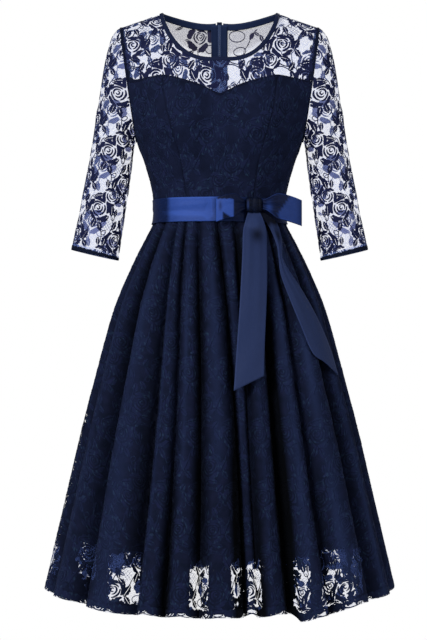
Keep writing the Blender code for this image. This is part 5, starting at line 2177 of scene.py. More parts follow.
@dataclass
class Sleeves(Assembly):
    """Two sheer lace sleeves with a cuff band and an armhole seam."""

    around: int = 97
    down: int = 90
    axis_x: float = 0.185
    back_shift: float = -0.22
    cuff_middle: tuple[float, float] = (0.2137, -0.416)
    lean_deg: float = 9.97
    radius: float = 0.043
    flat_shift: float = -0.005
    cuff_height: float = 8.5 * MM
    cuff_out: float = 0.7 * MM
    seam_height: float = 6.0 * MM
    creases: tuple[Crease, ...] = table(
        Crease,
        (0.03, -0.15, 0.09, 0.008, 20, 0.0016),
        (0.07, -0.172, 0.08, 0.007, -14, -0.0014),
        (-0.04, -0.16, 0.09, 0.008, -24, 0.0015),
        (-0.08, -0.19, 0.08, 0.009, 12, 0.0014),
        (0.1, -0.06, 0.07, 0.008, 55, -0.0015),
        (-0.1, -0.075, 0.07, 0.007, -50, 0.0014),
        (0.05, -0.255, 0.08, 0.009, 10, 0.0012),
        (-0.02, -0.28, 0.07, 0.008, -8, -0.0012),
    )

    def build(self) -> None:
        """Builds both sleeves."""
        for arm in Arm:
            self.sleeve(arm)

    def part_back(self, net: Object) -> None:
        """Moves the back half to its own part of the flat map, where it mirrors the front's lattice."""
        layer = net.data.uv_layers[FLAT_UV]
        uv = np.empty(len(net.data.loops) * 2, np.float32)
        layer.data.foreach_get("uv", uv)
        faces = uv.reshape(-1, 4, 2)
        back = faces[:, :, 0].mean(1) / UV_SCALE < UV_CENTRE
        around = faces[back, :, 0] / UV_SCALE - UV_CENTRE
        faces[back, :, 0] = (self.back_shift - around + UV_CENTRE) * UV_SCALE
        layer.data.foreach_set("uv", faces.ravel())

    def flat(self, arm: Arm, u: Array, along: Array, grid: Array) -> Array:
        """Flat places: the way round the arm from the outer line, and the height above the cuff.

        Args:
            arm: which arm.
            u: lengths round it.
            along: shares of its length.
            grid: its points.

        Returns:
            Flat places.
        """
        lean = math.radians(self.lean_deg)
        x, z = grid[..., 0] * arm.value - self.cuff_middle[0], grid[..., 2] - self.cuff_middle[1]
        y = grid[..., 1] + Profile(SLEEVE, "forward")(along)
        turn = np.arctan2(np.abs(y), x * math.cos(lean) + z * math.sin(lean))
        up = z * math.cos(lean) - x * math.sin(lean) + self.flat_shift
        return np.stack([np.sign(u) * turn * self.radius, up], -1)

    def surface(self, arm: Arm, u: Array, along: Array, out: Array | float = 0.0) -> Array:
        """Points of the tube, lifted along its normals.

        Args:
            arm: which arm.
            u: lengths round it.
            along: shares of its length; less than 0 is above the armhole seam.
            out: how far to lift.

        Returns:
            An array of points.
        """
        plain = SLEEVES.point(arm, u, along)
        plain[..., 0] += arm.value * np.minimum(along, 0.0) * SLEEVES.length
        lift = creased(self.creases, u, -along * SLEEVES.length)
        ease = np.sin(pi * np.clip(along, 0.0, 1.0)) ** 0.4
        side, turn = SLEEVES.around(u)
        normal = unit(stack(arm.value * np.cos(turn), side * np.sin(turn), 0.35 * np.cos(turn)))
        return plain + normal * (out + lift * ease)[..., None]

    def sleeve(self, arm: Arm) -> None:
        """Builds one sleeve: its net, the flowers on both faces, the cuff and the armhole seam."""
        word = arm.name.lower()
        girth = SLEEVES.half_girth
        u, along = spread(self.around, -girth, girth)[None, :], spread(self.down)[:, None]
        grid = self.surface(arm, u, along + 0 * u)
        flat = self.flat(arm, u, along, grid)
        axis = (arm.value * self.axis_x, 0.0)
        net = self.shop.cloth(f"net_sleeve_{word}", grid, NET, flat, axis=axis, closed=True)
        self.part_back(net)
        half = self.around // 2
        trims = []
        for part, columns in (("back", slice(0, half + 1)), ("front", slice(half, None))):
            under = self.shop.cloth(f"under_{part}", grid[:, columns], NET, flat[:, columns], axis=axis)
            motif = self.shop.back_motifs["back_right"] if part == "back" else None
            # the inner face is painted lighter than the cord, as painted light
            for layer, finish, lift in (("lace", LACE, LACE_LIFT), ("reverse", LACE_BACK_LIT, REVERSE_LIFT)):
                name = f"{layer}_sleeve_{word}_{part}"
                trims.append(self.shop.lay_lace(name, under, finish, lift, motif))
                self.shop.give(trims[-1], "lace")
            bpy.data.objects.remove(under)
        self.shop.give(net, "lace", f"sleeve_{word}_front", f"sleeve_{word}_back")
        seam = self.seam_height / SLEEVES.length / 2
        trims += self.trim(arm, "cuff", NET, 1 - self.cuff_height / SLEEVES.length, 1.0)
        trims += self.trim(arm, "armhole", SEAM, -seam, seam)
        size = np.ptp(flat[..., 0]), np.ptp(flat[..., 1])
        self.shop.sheet(net, grid, "hung", ["yoke_front"], trims, size)

    def trim(self, arm: Arm, part: str, finish: Finish, start: float, end: float) -> list[Object]:
        """Builds a band round the sleeve with a row of stitches.

        Args:
            arm: which arm.
            part: the band's name.
            finish: its finish.
            start: its upper edge as a share of the sleeve's length.
            end: its lower edge.

        Returns:
            The band and its stitches.
        """
        word, axis = arm.name.lower(), (arm.value * self.axis_x, 0.0)
        u = spread(self.around, -SLEEVES.half_girth, SLEEVES.half_girth)[None, :]
        crown = self.cuff_out + 0.35 * MM * np.sin(pi * spread(5))[:, None]
        grid = self.surface(arm, u, spread(5, start, end)[:, None] + 0 * u, crown + 0 * u)
        band = self.shop.cloth(f"{part}_band_{word}", grid, finish, wall=0.5 * MM, axis=axis, closed=True)
        self.shop.mark(band, CLOSE, spread(5, 0.0, 1.5)[:, None] + 0 * u)
        self.shop.give(band, "lace")
        return [band, self.shop.sew(f"stitches_{part}_{word}", sewn_rows(grid, (3,), axis), "lace")]


# ---------------------------------------------------------------- skirt


class Panel(NamedTuple):
    """A skirt panel: its name, and the folds on whose ridges its two seams lie."""

    word: str
    first: int
    last: int


PANELS = table(Panel, ("front", 5, 16), ("back_left", 16, len(FOLDS) - 1), ("back_right", -1, 5))


@dataclass(frozen=True)
class HemTile(LaceTile):
    """Two scallops of the lace's border: one an open loop of cord, the other closed with petals."""

    wide: float = 88.0
    share: float = 0.42
    band_foot: float = 7.2
    band_top: float = 11.0
    petals: int = 7

    def patches(self) -> list[Patch]:
        """The border's patches, in millimetres from its lower left corner."""
        s = spread(41)
        x = s * self.wide
        crest = self.band_top + 2.2 * np.abs(np.sin(pi * 8 * s)) - 1.5 * np.sin(pi * 2 * s)
        rows = [np.stack([x, 0 * x + y], -1) for y in (self.band_foot, 9.0, crest)]
        found = [Patch(np.array(rows), (0.0, self.rise, 0.0))]
        part = self.share * self.wide
        s = spread(25)
        for start, wide in ((0.0, part), (part, self.wide - part)):
            line = np.stack([start + s * wide, 0.9 + 6.0 * (1 - np.sin(pi * s) ** 0.35)], -1)
            found.append(self.band(line, 1.7))
        s = spread(8 * self.petals + 1, 0.02, 0.98)
        x = part + s * (self.wide - part)
        foot = 1.3 + 5.0 * (1 - np.sin(pi * s) ** 0.3) + 0.8 * np.abs(np.cos(pi * self.petals * s))
        found.append(Patch(np.array([np.stack([x, 0 * x + y], -1) for y in (foot, 0 * x + 7.4)]), (0.0, 0.0)))
        return found


class Window(NamedTuple):
    """A place on the front hem where the border is one open layer: its middle, half width and foot."""

    x: float
    half_width: float
    foot: float


WINDOWS = table(
    Window,
    (-0.281, 0.009, -0.957), (-0.216, 0.015, -0.945), (-0.152, 0.025, -0.972),
    (-0.033, 0.0145, -0.985), (0.024, 0.006, -0.962), (0.054, 0.0095, -0.99),
    (0.131, 0.0115, -0.985), (0.184, 0.0205, -0.99), (0.222, 0.008, -0.975),
)


class HemLift(NamedTuple):
    """A place on the front where the lining's hem rides up: its middle, its half width and its rise."""

    x: float
    half_width: float
    rise: float


HEM_LIFTS = table(
    HemLift, (-0.216, 0.02, 0.016), (-0.15, 0.034, 0.008), (-0.033, 0.022, -0.003), (0.192, 0.038, 0.01)
)


def lining_hem(x: Array) -> Array:
    """Level of the lining's hem across the front, where it rides up unevenly."""
    return LINING_HEM + sum(lift.rise * bump(x - lift.x, lift.half_width, 4) for lift in HEM_LIFTS)


@dataclass
class Skirt(Assembly):
    """The folded lace skirt with its scalloped border, over a shorter lining."""

    columns_per_fold: int = 16
    rows: int = 84
    border_top: float = -0.903
    slits_top: float = -0.983
    hem_drop: float = 7.5 * MM
    border_shift: tuple[float, float] = (0.037, 0.022)
    blend_height: float = 0.045
    lining_share: float = 0.85
    lining_inset_waist: float = 2.1 * MM
    lining_inset_hem: float = 13.0 * MM
    lining_inset_drop: float = 0.06
    lining_wall: float = 0.8 * MM
    ripple: float = 1.4 * MM
    # how strong the painted shade in the valleys and the painted highlight on the ridges are
    hollow_share: float = 0.97
    lit_share: float = 0.55
    step: tuple[float, float, float] = (0.118, 0.205, 0.013)
    side_lift: float = 6.5 * MM

    def build(self) -> None:
        """Builds every panel of lace and lining."""
        hem = HemTile()
        hem_motif = hem.build("hem_repeat")
        for panel in PANELS:
            self.lace_panel(panel, hem, hem_motif)
            self.lining_panel(panel)

    def places(self, panel: Panel, per_fold: int) -> Array:
        """Places of a panel's columns, counted in folds."""
        count = (panel.last - panel.first) * per_fold + 1
        return spread(count, panel.first + 0.5, panel.last + 0.5)

    def flat(self, grid: Array, place: Array, levels: Array) -> Array:
        """Flat places: exact round the border, and measured along each row above it.

        Args:
            grid: the panel's points.
            place: its columns, counted in folds.
            levels: its rows.

        Returns:
            Flat places.
        """
        repeat = LACE_REPEAT[0] * MM
        border = SKIRT.flat(place)
        middle = border[len(border) // 2]
        moved = round(middle / repeat) * repeat
        measured = flat_of(grid)[..., 0] + middle
        share = eased((levels - self.border_top) / self.blend_height)[:, None]
        u = mix(border[None, :], measured, share) - moved
        return np.stack(np.broadcast_arrays(u, levels[:, None]), -1)

    def ripples(self, place: Array, z: Array) -> Array:
        """Soft uneven waves between the main folds, stronger towards the hem."""
        fall = SKIRT.fall_share(z)
        wave = np.sin(place * tau * 1.5 + 7.0 * fall + 1.3) * np.sin(place * 2.3 + 4.0 * fall)
        wave += 0.6 * np.sin(place * tau * 0.5 + 11.0 * fall) * np.sin(place * 0.9 + 1.0)
        return self.ripple * (1 + wave / 1.6) * eased(fall * 1.6)

    def lace_panel(self, panel: Panel, hem: HemTile, hem_motif: Object) -> None:
        """Builds one lace panel: net, flowers and scallops.

        Args:
            panel: which panel.
            hem: the border's repeat.
            hem_motif: the same as a flat mesh.
        """
        place = self.places(panel, self.columns_per_fold)
        levels = WAIST_SEAM - 0.15 * MM - (WAIST_SEAM - SKIRT_HEM) * spread(self.rows) ** 0.92
        z = levels[:, None]
        out = self.ripples(place[None, :], z)
        ends = np.sin(pi * spread(len(place))) ** 0.25
        grid = SKIRT.point(place[None, :], z, 1.0, out * ends)
        flat = self.flat(grid, place, levels)
        drop = self.drop(panel, valley_share(place)[None, :], grid[..., 0])
        grid[..., 2] -= drop * eased(SKIRT.fall_share(z)) ** 2
        net = self.shop.cloth(f"net_skirt_{panel.word}", grid, NET_SKIRT, flat)
        self.shop.mark(net, CLOSE, self.closeness(panel, place, grid, z))
        # paints shade into the valleys and highlights onto the ridges
        self.shop.mark(net, PAINTED_SHADE, self.hollow(place[None, :], z))
        # the net's threads are painted darker as shade above the lining's hem
        above = (grid[..., 2] - lining_hem(grid[..., 0])) / 0.005
        self.shop.mark(net, SHADED_THREADS, np.clip(above, 0.0, 1.0))
        lace = self.shop.lay_lace(f"lace_skirt_{panel.word}", net, LACE_OVER)
        wide = hem.wide * MM
        first = math.floor(flat[..., 0].min() / wide) - 1
        last = math.ceil(flat[..., 0].max() / wide) + 1
        scallops = self.shop.over.run(
            self.shop,
            f"hem_scallops_{panel.word}",
            net,
            LACE_OVER,
            Motif=hem_motif,
            Columns=last - first,
            Rows=2,
            Wide=wide,
            High=-1.0,
            First=(first * hem.wide * MM, SKIRT_HEM + 0.3 * MM, 0.0),
            Lift=0.5 * MM,
        )
        low = levels < self.border_top + 0.006
        low &= levels > self.slits_top - 0.002
        moved = flat[low] + np.array(self.border_shift)
        under = self.shop.cloth("under_border", grid[low] - outward(grid)[low] * 3.0 * MM, NET, moved)
        sparse = self.shop.back_motifs["back_right"] if panel.word == "front" else None
        border = self.shop.lay_lace(f"border_skirt_{panel.word}", under, LACE_OVER, motif=sparse)
        bpy.data.objects.remove(under)
        self.shop.give(net, "lace", f"skirt_{panel.word}")
        for trim in (lace, scallops, border):
            self.shop.give(trim, "lace")
        self.shop.sheet(net, grid, "gathered", ["sash"], [lace, scallops, border])

    def drop(self, panel: Panel, valley: Array, x: Array) -> Array:
        """How far the hem hangs below its level: more in valleys and on the front's lapped part.

        Args:
            panel: which panel.
            valley: how near each column is to a valley.
            x: places across.

        Returns:
            Lengths down.
        """
        start, end, deep = self.step
        lapped = deep * eased((x - start) / 0.008) * eased((end - x) / (0.9 * (end - start)))
        lifted = self.side_lift * eased((np.abs(x) - 0.185) / 0.06)
        return self.hem_drop * valley**2 + lapped * (panel.word == "front") - lifted

    def hollow(self, place: Array, z: Array) -> Array:
        """How much painted shade darkens the cloth between folds, and how much painted highlight lifts its
        ridges.

        Args:
            place: places counted in folds.
            z: levels.

        Returns:
            1 for full painted shade in a deep valley, and below 0 for a painted highlight on a ridge.
        """
        part, fall = place - np.floor(place), SKIRT.fall(z)
        after = (np.floor(place).astype(int) + 1) % len(FOLDS)
        depths = np.array(FOLDS)[:, 2]
        depth = mix(depths[after - 1], depths[after], part)
        uneven = 0.8 + 0.25 * np.sin(place * 3.7 + fall * 9.0)
        grown = 1 - np.exp(-fall / 0.022)
        # painted shade in the valleys, painted highlight in streaks on the ridges, more painted shade low in
        # the middle front and less on the sides
        dark = eased((valley_share(place) - 0.34) / 0.52) * (depth / 0.035) ** 2 * uneven
        streak = 0.5 + 0.5 * np.sin(place * 9.1 + fall * 17.0) * np.sin(place * 2.9 - fall * 6.0)
        aside = part - 0.4 - 0.12 * np.sin(place * 4.3)
        lit = bump(aside, 0.13) * (0.35 + 0.65 * streak) * self.lit_share
        low = eased((-0.7 - z) / 0.12) * bump(place - 10.8, 2.3)
        side = eased((place - 13.0) / 1.2) * eased((17.0 - place) / 0.5)
        calm = 0.4 * side + 0.5 * eased((8.4 - place) / 0.8) * eased((place - 5.0) / 0.5)
        dark = np.clip(dark * (1 + 0.3 * low - calm), 0.0, 1.0)
        return (dark * self.hollow_share + 0.22 * low - lit * (1 - 0.6 * low + 0.8 * side)) * grown

    def closeness(self, panel: Panel, place: Array, grid: Array, z: Array) -> Array:
        """Where the net is drawn close, so that it doesn't let light through.

        Args:
            panel: which panel.
            place: its columns, counted in folds.
            grid: its points.
            z: the levels of its rows before the hem's drop.

        Returns:
            0 where the net is open, 1 where it is closed.
        """
        x, z = grid[..., 0], z + 0 * grid[..., 2]
        below = eased((lining_hem(x) + 0.004 - grid[..., 2]) / 0.004)
        border = eased((self.border_top - z) / 0.004)
        if panel.word == "front":
            seen, near = [], []
            for window in WINDOWS:
                inside = eased((window.half_width + 0.003 - np.abs(x - window.x)) / 0.005)
                seen.append(inside * below * eased((z - window.foot + 0.004) / 0.012))
                near.append(bump(x - window.x, window.half_width + 0.016))
            thin = (0.06 + 0.2 * np.max(near, axis=0)) * border
            bare = np.maximum(np.max(seen, axis=0) * 0.66, thin)
        else:
            ridge = np.abs(place - np.floor(place) - 0.5)[None, :]
            bare = border * eased((0.36 - ridge) / 0.06)
        side = np.abs(x) / Profile(SKIRT_LEVELS, "half_width")(z)
        flare = 0.36 * eased((side - 0.955) / 0.02) * eased((-0.58 - z) / 0.14) * (x < 0)
        foot = eased((self.slits_top - z) / 0.001)
        return 1 - 1.35 * np.maximum(np.maximum(bare, flare), foot)

    def lining_panel(self, panel: Panel) -> None:
        """Builds one lining panel."""
        place = self.places(panel, 12)
        levels = spread(48, WAIST_SEAM - 0.3 * MM, LINING_HEM)
        loose = 1 - np.exp(-SKIRT.fall(levels) / self.lining_inset_drop)[:, None]
        inset = mix(self.lining_inset_waist, self.lining_inset_hem, loose)
        share = mix(1.0, self.lining_share, loose)
        grid = SKIRT.point(place[None, :], levels[:, None], share, inset)
        if panel.word == "front":
            near = eased((levels - WAIST_SEAM) / (LINING_HEM - WAIST_SEAM)) ** 6
            grid[..., 2] += near[:, None] * (lining_hem(grid[..., 0]) - LINING_HEM)
        cloth = self.shop.cloth(f"lining_cloth_{panel.word}", grid, LINING_CLOTH, wall=self.lining_wall)
        self.shop.give(cloth, "lining", f"lining_{panel.word}")
        self.shop.sheet(cloth, grid, "gathered", ["sash"])
        self.shop.sew(f"stitches_lining_{panel.word}", sewn_rows(grid, (-5,)), "lining")


# ---------------------------------------------------------------- sash, bow and zip


TAIL_LONG = table(
    RibbonStep,
    (-0.3489, 0.0565, 0.02, 0),
    (-0.36, 0.0575, 0.029, 0),
    (-0.379, 0.058, 0.039, 0),
    (-0.415, 0.0575, 0.041, 0),
    (-0.46, 0.0561, 0.043, 0.0005),
    (-0.51, 0.0535, 0.044, 0.001),
    (-0.565, 0.05, 0.0455, 0.006),
    (-0.629, 0.0465, 0.049, 0.0235),
)
TAIL_SHORT = table(
    RibbonStep,
    (-0.348, 0.067, 0.012, 0),
    (-0.363, 0.085, 0.015, 0.004),
    (-0.384, 0.0955, 0.013, 0.003),
    (-0.405, 0.1, 0.009, 0.001),
    (-0.423, 0.101, 0.007, 0.001),
    (-0.448, 0.108, 0.015, 0.005),
    (-0.48, 0.124, 0.024, 0.008),
    (-0.53, 0.148, 0.031, 0.01),
    (-0.58, 0.17, 0.033, 0.004),
    (-0.608, 0.186, 0.024, -0.022),
)


class Pleat(NamedTuple):
    """A fold of the ribbon: its place across from -1 to 1, its width, its depth and how far it runs."""

    at: float
    width: float
    depth: float
    run: float = 0.0


class Loop(NamedTuple):
    """A loop of the bow: its way from the knot, its reach and bulges, and its folds."""

    word: str
    way: int
    reach: float
    forward: float
    droop: float
    front_bulge: float
    back_bulge: float
    half_height: float
    pleats: tuple[Pleat, ...]


LOOPS = (
    Loop(
        "left", 1, 0.067, 0.022, 0.013, 0.0085, 0.003, 0.0215,
        table(
            Pleat,
            (-0.55, 0.16, 0.0022, 0.42),
            (-0.08, 0.12, -0.002, 0.62),
            (0.38, 0.18, 0.002, 0.35),
            (0.72, 0.1, -0.0012, 0.5),
        ),
    ),
    Loop(
        "right", -1, 0.049, -0.012, 0.01, 0.0085, 0.0012, 0.0195,
        table(Pleat, (-0.42, 0.15, 0.0019, 0.4), (0.1, 0.13, -0.0018, 0.55), (0.55, 0.15, 0.0016, 0.36)),
    ),
)


def waist_shell(bearing: Array, z: Array) -> tuple[Array, Array]:
    """Half width and depth of the outside form round the waist.

    Args:
        bearing: bearings round the waist, 0 in front.
        z: levels.

    Returns:
        Half widths and depths.
    """
    shells = []
    for rows in (TORSO_LEVELS, SKIRT_LEVELS):
        wide, front, back = read(rows, z, "half_width", "front", "back")
        shells.append((wide, np.where(np.cos(bearing) > 0, front, back)))
    return tuple(np.where(z > WAIST_SEAM, above, below) for above, below in zip(*shells))


def front_depth(x: Array, z: Array) -> Array:
    """How far the skirt's ridges, or the waist above them, stand in front at a place."""
    wide, deep = waist_shell(np.zeros(np.shape(z)), np.asarray(z, float))
    return deep * np.sqrt(np.maximum(1 - (x / wide) ** 2, 0.02))


@dataclass
class Sash(Assembly):
    """The satin ribbon round the waist, with its bow: a knot, two loops and two hanging ends."""

    seat: float = 1.6 * MM
    wall: float = 1.1 * MM
    knot: tuple[float, float, float] = (0.0565, 0.0, -0.3355)
    knot_half: tuple[float, float, float] = (12.5 * MM, 8.5 * MM, 13.0 * MM)
    knot_girth: float = 0.052
    knot_pleats: tuple[Pleat, ...] = table(
        Pleat, (-0.55, 0.1, 0.9 * MM), (-0.18, 0.08, -1.0 * MM), (0.2, 0.11, 0.7 * MM), (0.62, 0.09, -0.9 * MM)
    )
    long_pleats: tuple[Pleat, ...] = table(
        Pleat, (-0.22, 0.1, 0.0016, 0.5), (0.2, 0.13, -0.0013, 0.75), (0.36, 0.07, 0.001, 0.45)
    )
    short_pleats: tuple[Pleat, ...] = table(Pleat, (-0.18, 0.14, 0.0014, 0.9), (0.22, 0.11, -0.0012, 0.8))
    loop_neck: float = 7.5 * MM
    loop_pinch: float = 1.2 * MM
    selvedge: float = 0.25 * MM
    sinks_from: float = -0.42
    sinks_over: float = 0.18
    # levels above which each hanging end is painted dark, as shade beneath the bow
    long_shows_below: float = -0.352
    short_shows_below: float = -0.374
    creases: tuple[Crease, ...] = table(
        Crease,
        (-0.007, -0.343, 0.055, 0.003, 97, 0.0017),
        (-0.016, -0.345, 0.042, 0.0045, 82, -0.0012),
        (-0.052, -0.336, 0.08, 0.0035, 4, 0.0008),
        (-0.044, -0.35, 0.09, 0.004, -3, -0.0009),
        (0.128, -0.34, 0.05, 0.004, -12, 0.001),
        (0.19, -0.347, 0.09, 0.0045, 5, -0.0009),
        (0.3, -0.338, 0.11, 0.0045, -3, 0.0009),
        (-0.19, -0.34, 0.1, 0.0045, 4, 0.0009),
        (-0.31, -0.349, 0.09, 0.005, -5, -0.0009),
    )
    # painted highlight along the band, by the flat way round from the front
    gleams: tuple[tuple[float, float], ...] = (
        (-0.45, 0.35), (-0.32, 0.22), (-0.2, 0.3), (-0.14, 0.1), (-0.09, 0.1), (-0.08, 0.8),
        (-0.06, 0.95), (-0.014, 0.92), (-0.006, 0.7), (0.002, 0.25), (0.02, 0.1), (0.12, 0.1),
        (0.17, 0.28), (0.26, 0.38), (0.36, 0.22), (0.45, 0.35),
    )

    def build(self) -> None:
        """Builds every piece of the ribbon."""
        self.band()
        self.centre = np.array(self.knot)
        back = front_depth(self.knot[0] - self.knot_half[0], self.knot[2])
        self.centre[1] = -back - (self.seat + self.wall + self.knot_half[1] - 0.9 * MM)
        self.tie()
        for loop in LOOPS:
            self.loop(loop)
        self.tail("long", TAIL_LONG, self.long_pleats, self.long_shows_below, sunk=9.0 * MM)
        self.tail("short", TAIL_SHORT, self.short_pleats, self.short_shows_below, behind=4.0 * MM)

    def edged(self, across: Array) -> Array:
        """The rounded selvedges' lift; across runs from -1 to 1."""
        return self.selvedge * bump(1 - np.abs(across), 0.05)

    def ribbon(
        self, name: str, node: str, grid: Array, gleam: Array, held: str, finish: Finish = RIBBON
    ) -> None:
        """Makes a piece of the bow, mapped with its ribs across it.

        Args:
            name: the piece's name.
            node: the solid that it stands for.
            grid: its points.
            gleam: how light its satin is at each.
            held: how it is held at the knot.
            finish: its finish.
        """
        flat = flat_of(grid)[..., ::-1]
        piece = self.shop.cloth(name, grid, finish, flat, self.wall - 0.2 * MM, offset=0.0)
        self.shop.mark(piece, GLEAM, gleam)
        self.shop.give(piece, "ribbon", node)
        self.shop.sheet(piece, grid, held, ["bow_knot"])

    def band(self) -> None:
        """Builds the part round the waist."""
        bearing = spread(241, -pi, pi)[None, :]
        across = spread(15, 1, -1)[:, None]
        z = mix(SASH_BOTTOM, SASH_TOP, (across + 1) / 2)
        wide, deep = waist_shell(bearing, z + 0 * bearing)
        u = bearing * (wide + deep) / 2
        lift = creased(self.creases, u, z) * (1 - np.abs(across) ** 6)
        out = self.seat + self.wall / 2 + np.maximum(lift, -0.3 * MM) + self.edged(across)
        x, y = (wide + out) * np.sin(bearing), -(deep + out) * np.cos(bearing)
        dip = -0.0008 * np.sin(2.2 * bearing + 0.6) * (1 - bump(bearing, 0.4))
        grid = stack(x, y, z + 0 * bearing + dip)
        wall = self.wall - 0.2 * MM
        piece = self.shop.cloth("sash_satin", grid, RIBBON, wall=wall, closed=True, offset=0.0)
        # painted highlight from the table, lighter where a crease dips in, darker towards the lower edge and
        # lighter on the selvedges
        gleam = np.interp(u, *np.array(self.gleams).T) - 12.0 * np.minimum(lift, 0.0) / self.wall * 0.05
        gleam = gleam * (0.86 + 0.14 * across) + 0.25 * (np.abs(across) > 0.9) * gleam
        self.shop.mark(piece, GLEAM, gleam)
        self.shop.give(piece, "ribbon", "sash")
        self.shop.sheet(piece, grid, "stretched", ["skirt_front"])

    def tie(self) -> None:
        """Builds the knot: ribbon drawn tight round the loops' roots, in uneven folds."""
        across = spread(33, -1, 1)[:, None]
        angle = spread(45, 0, tau)[None, :]
        size = 1 - 0.2 * np.abs(across) ** 3.2
        lean = 0.06 * np.sin(angle)
        folds = sum(pleat.depth * bump(across - pleat.at - lean, pleat.width) for pleat in self.knot_pleats)
        half_width, half_depth, half_height = self.knot_half
        swell = size + folds / half_depth
        y = swung(np.cos(angle), 0.7) * half_depth * swell
        z = swung(np.sin(angle), 0.7) * half_height * np.minimum(swell, 1.02)
        grid = self.centre + stack(across * half_width + 0 * angle, y, z)
        flat = flat_of(grid)[..., ::-1]
        piece = self.shop.cloth("bow_knot_satin", grid, RIBBON_SHADE, flat, closed=True)
        cap_ends(piece, 45)
        # painted highlight: faint over the front's middle, with a bright spot near one end of the front; the
        # rest is painted shade
        facing = eased(1 - np.cos(angle))
        gleam = 0.05 * bump(across, 0.45, 4) * facing
        spot = np.exp(-(((across + 0.8) / 0.13) ** 2) - ((np.sin(angle) + 0.1) / 0.5) ** 2)
        self.shop.mark(piece, GLEAM, gleam + 0.55 * spot * facing)
        self.shop.give(piece, "ribbon", "bow_knot")

    def loop(self, loop: Loop) -> None:
        """Builds a loop, from behind the knot out to its bend and back in front."""
        share = spread(57)[:, None]
        across = spread(19, -1, 1)[None, :]
        angle = tau * share
        reach = (1 - np.cos(angle)) / 2
        bulge = np.where(share > 0.5, loop.front_bulge, loop.back_bulge)
        away = self.loop_pinch * np.sign(share - 0.5) * (1 - reach) - np.sin(angle) * bulge
        folds = sum(
            pleat.depth * bump(across - pleat.at, pleat.width) * bump(reach, pleat.run) for pleat in loop.pleats
        )
        away = away + folds * np.sign(share - 0.5) * eased(reach / 0.08) + self.edged(across)
        height = mix(self.loop_neck, loop.half_height, eased(reach / 0.46))
        x = loop.way * loop.reach * reach + 0 * across
        y = loop.forward * reach - away - 0.0012 * (1 - across**2) * reach
        z = -loop.droop * reach**2 + across * height
        root = self.centre + np.array([loop.way * (self.knot_half[0] + 0.3 * MM + self.wall / 2), 0.0, 0.0])
        # only the front half takes a painted highlight, with its selvedges painted lighter
        near = (share > 0.5) * 1.0
        gleam = self.loop_gleam(loop, reach, z + root[2]) * near + 0.22 * (np.abs(across) > 0.92) * near
        grid = root + stack(x, y, z)
        self.ribbon(f"bow_satin_{loop.word}", f"bow_loop_{loop.word}", grid, gleam, "folded")

    def loop_gleam(self, loop: Loop, reach: Array, z: Array) -> Array:
        """Where the front of a loop is painted light or dark, by the way out from the knot and the level.

        Args:
            loop: which loop.
            reach: 0 at the knot, 1 at the bend.
            z: levels.

        Returns:
            The gleam.
        """
        # left loop: a painted highlight near the knot and in a wedge out towards the bend
        if loop.way > 0:
            bend = np.exp(-(((reach - 0.17) / 0.08) ** 2) - ((z + 0.341) / 0.009) ** 2)
            wedge = eased((0.096 * (reach - 0.38) - np.abs(z + 0.352)) / 0.004 + 0.5)
            return 0.02 + 0.42 * bend + 0.4 * wedge * (1 - 0.3 * eased((reach - 0.8) / 0.2))
        # right loop: painted shade at its base, a painted highlight below the band's top edge, a painted shadow
        # in a dent near the bend, and a painted highlight at the bend
        foot = eased((z - mix(-0.362, -0.351, (reach - 0.41) / 0.36)) / 0.003)
        lit = eased((reach - 0.4) / 0.05) * eased((-0.3265 - z) / 0.0015)
        lit = lit * np.maximum(foot, eased((reach - 0.76) / 0.02))
        dent_shade = np.exp(-(((reach - 0.865) / 0.05) ** 2) - ((z + 0.339) / 0.008) ** 2)
        return -0.1 + 0.95 * lit * (1 - 0.6 * dent_shade) + 0.25 * bump(1 - reach, 0.03)

    def tail(
        self,
        word: str,
        steps: Sequence[RibbonStep],
        pleats: Sequence[Pleat],
        shaded_above: float,
        behind: float = 0.0,
        sunk: float = 0.0,
    ) -> None:
        """Builds a hanging end over the skirt's folds.

        Args:
            word: which end.
            steps: its cross lines, from the knot down.
            pleats: its folds.
            shaded_above: the level above which the end is painted dark, as shade beneath the bow.
            behind: how far behind the knot's middle it starts.
            sunk: how far its foot sinks between the skirt's ridges.
        """
        down = spread(91)[:, None]
        across = spread(17, -0.5, 0.5)[None, :]
        level = mix(steps[0].z, steps[-1].z, down)
        x, width, tilt = read(steps, level, "x", "width", "tilt")
        px, pz = x + across * width, level + across * tilt
        rest = -front_depth(px, pz) - 2.6 * MM - 1.2 * MM * np.cos(pi * across)
        wave = sum(
            pleat.depth * bump(across - pleat.at, pleat.width) * bump(down, pleat.run, 3) for pleat in pleats
        )
        rest = rest - np.abs(wave) * np.sin(pi * np.clip(down * 6, 0, 0.5)) - self.edged(2 * across)
        rest = rest - 1.5 * MM * np.sin(down * 9.0 + across * 2.5) ** 2 * down
        rest = rest + sunk * eased((self.sinks_from - level) / self.sinks_over)
        start = self.centre[1] + behind
        y = mix(np.minimum(start, rest), rest, eased((steps[0].z - level) / 0.045))
        # painted shade in a patch below the knot, a painted sheen above it, painted highlights on the selvedges
        # and painted shade high up beneath the bow
        shade = np.exp(-(((level + 0.386) / 0.012) ** 2) - ((across - 0.1) / 0.24) ** 2)
        sheen = np.exp(-(((level + 0.366) / 0.008) ** 2) - ((across + 0.1) / 0.25) ** 2)
        bow_shade = eased((level - shaded_above) / 0.012)
        gleam = 0.8 - 0.72 * shade + 0.5 * sheen + 0.45 * (np.abs(across) > 0.455) - 1.2 * bow_shade
        self.ribbon(f"tail_satin_{word}", f"sash_tail_{word}", stack(px, y, pz), gleam, "hung", RIBBON_SHADED_END)


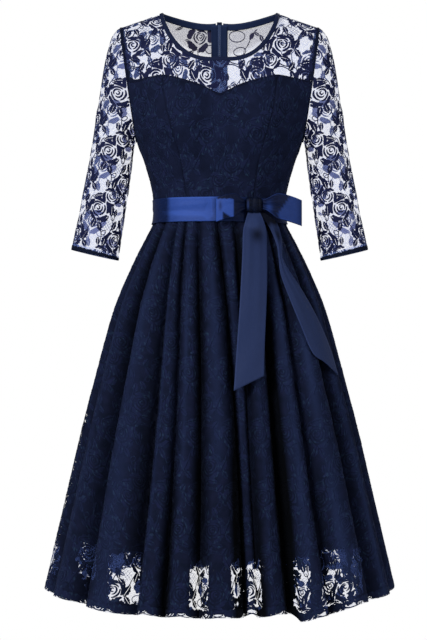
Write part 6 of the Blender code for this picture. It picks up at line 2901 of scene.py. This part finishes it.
@dataclass
class Zip(Assembly):
    """The centre-back zip: two tapes with a coil, its slider and its pull."""

    inner: float = 0.15 * MM
    outer: float = 14.5 * MM
    inset: float = 2.6 * MM
    end: float = -0.336
    below_neck: float = 3.0 * MM
    pitch: float = 1.5 * MM
    stitch_rows: tuple[float, float] = (5.5 * MM, 12.6 * MM)

    def build(self) -> None:
        """Builds the tapes and dresses the slider and its pull."""
        _, edge = TORSO.beyond_neck(np.array([pi * 0.9999]), 0.0)
        top = float(TORSO.height(Side.BACK, np.zeros(1), edge)[0])
        tooth = pillow("tooth", 0.95 * MM, 2.6 * MM, 0.9 * MM)
        for arm in Arm:
            self.tape(arm, top, tooth)
        for node in ("zip_slider", "zip_pull"):
            for slot in bpy.data.objects[node].material_slots:
                slot.material = ZIP_METAL.material()

    def line(self, arm: Arm, x: float, heights: Array, inset: float) -> tuple[Array, Array]:
        """Points beside the centre back and the way into the dress there.

        Args:
            arm: which side.
            x: the way from the centre.
            heights: heights along the cloth.
            inset: how far inside the cloth.

        Returns:
            Points, and unit vectors inwards.
        """
        across = np.full(heights.shape, x)
        here = TORSO.point(Side.BACK, across, heights)
        out = unit(np.cross(np.array([1.0, 0.0, 0.0]), TORSO.point(Side.BACK, across, heights - 1e-4) - here))
        out *= np.sign(out[..., 1:2])
        return (here - out * inset) * np.array([arm.value, 1.0, 1.0]), -out

    def tape(self, arm: Arm, top: float, tooth: Object) -> None:
        """Builds a tape, its row of teeth and its stitches.

        Args:
            arm: which side.
            top: the height of the neck along the cloth.
            tooth: one tooth.
        """
        word = arm.name.lower()
        heights = spread(90, top - self.below_neck, self.end)
        columns = [self.line(arm, x, heights, self.inset)[0] for x in spread(6, self.inner, self.outer)]
        grid = np.stack(columns, 1)
        tape = self.shop.cloth(f"tape_{word}", grid, TAPE, wall=0.8 * MM, offset=0.0)
        self.shop.give(tape, "zip_tape", f"zip_tape_{word}")
        shift = self.pitch / 2 if arm is Arm.LEFT else 0.0
        rows = spread(240, top - 4.0 * MM - shift, self.end + 2.0 * MM)
        at = self.line(arm, 1.2 * MM, rows, self.inset + 0.4 * MM)
        teeth = self.shop.sew(f"coil_{word}", [at], "zip_tape", COIL, self.pitch, tooth)
        sewn = [self.line(arm, x, heights[1:-1], self.inset + 0.4 * MM) for x in self.stitch_rows]
        thread = self.shop.sew(f"stitches_tape_{word}", sewn, "zip_tape")
        self.shop.sheet(tape, grid, "hung", [f"yoke_back_{word}"], [teeth, thread])


def main() -> None:
    """Builds the studio and the dress's looks in order."""
    logging.basicConfig(level=logging.INFO, format="%(message)s")
    Studio().build()
    shop = Workshop()
    for part in (Yoke, Bodice, Binding, Sleeves, Skirt, Sash, Zip):
        part(shop).build()


if __name__ == "__main__":
    main()
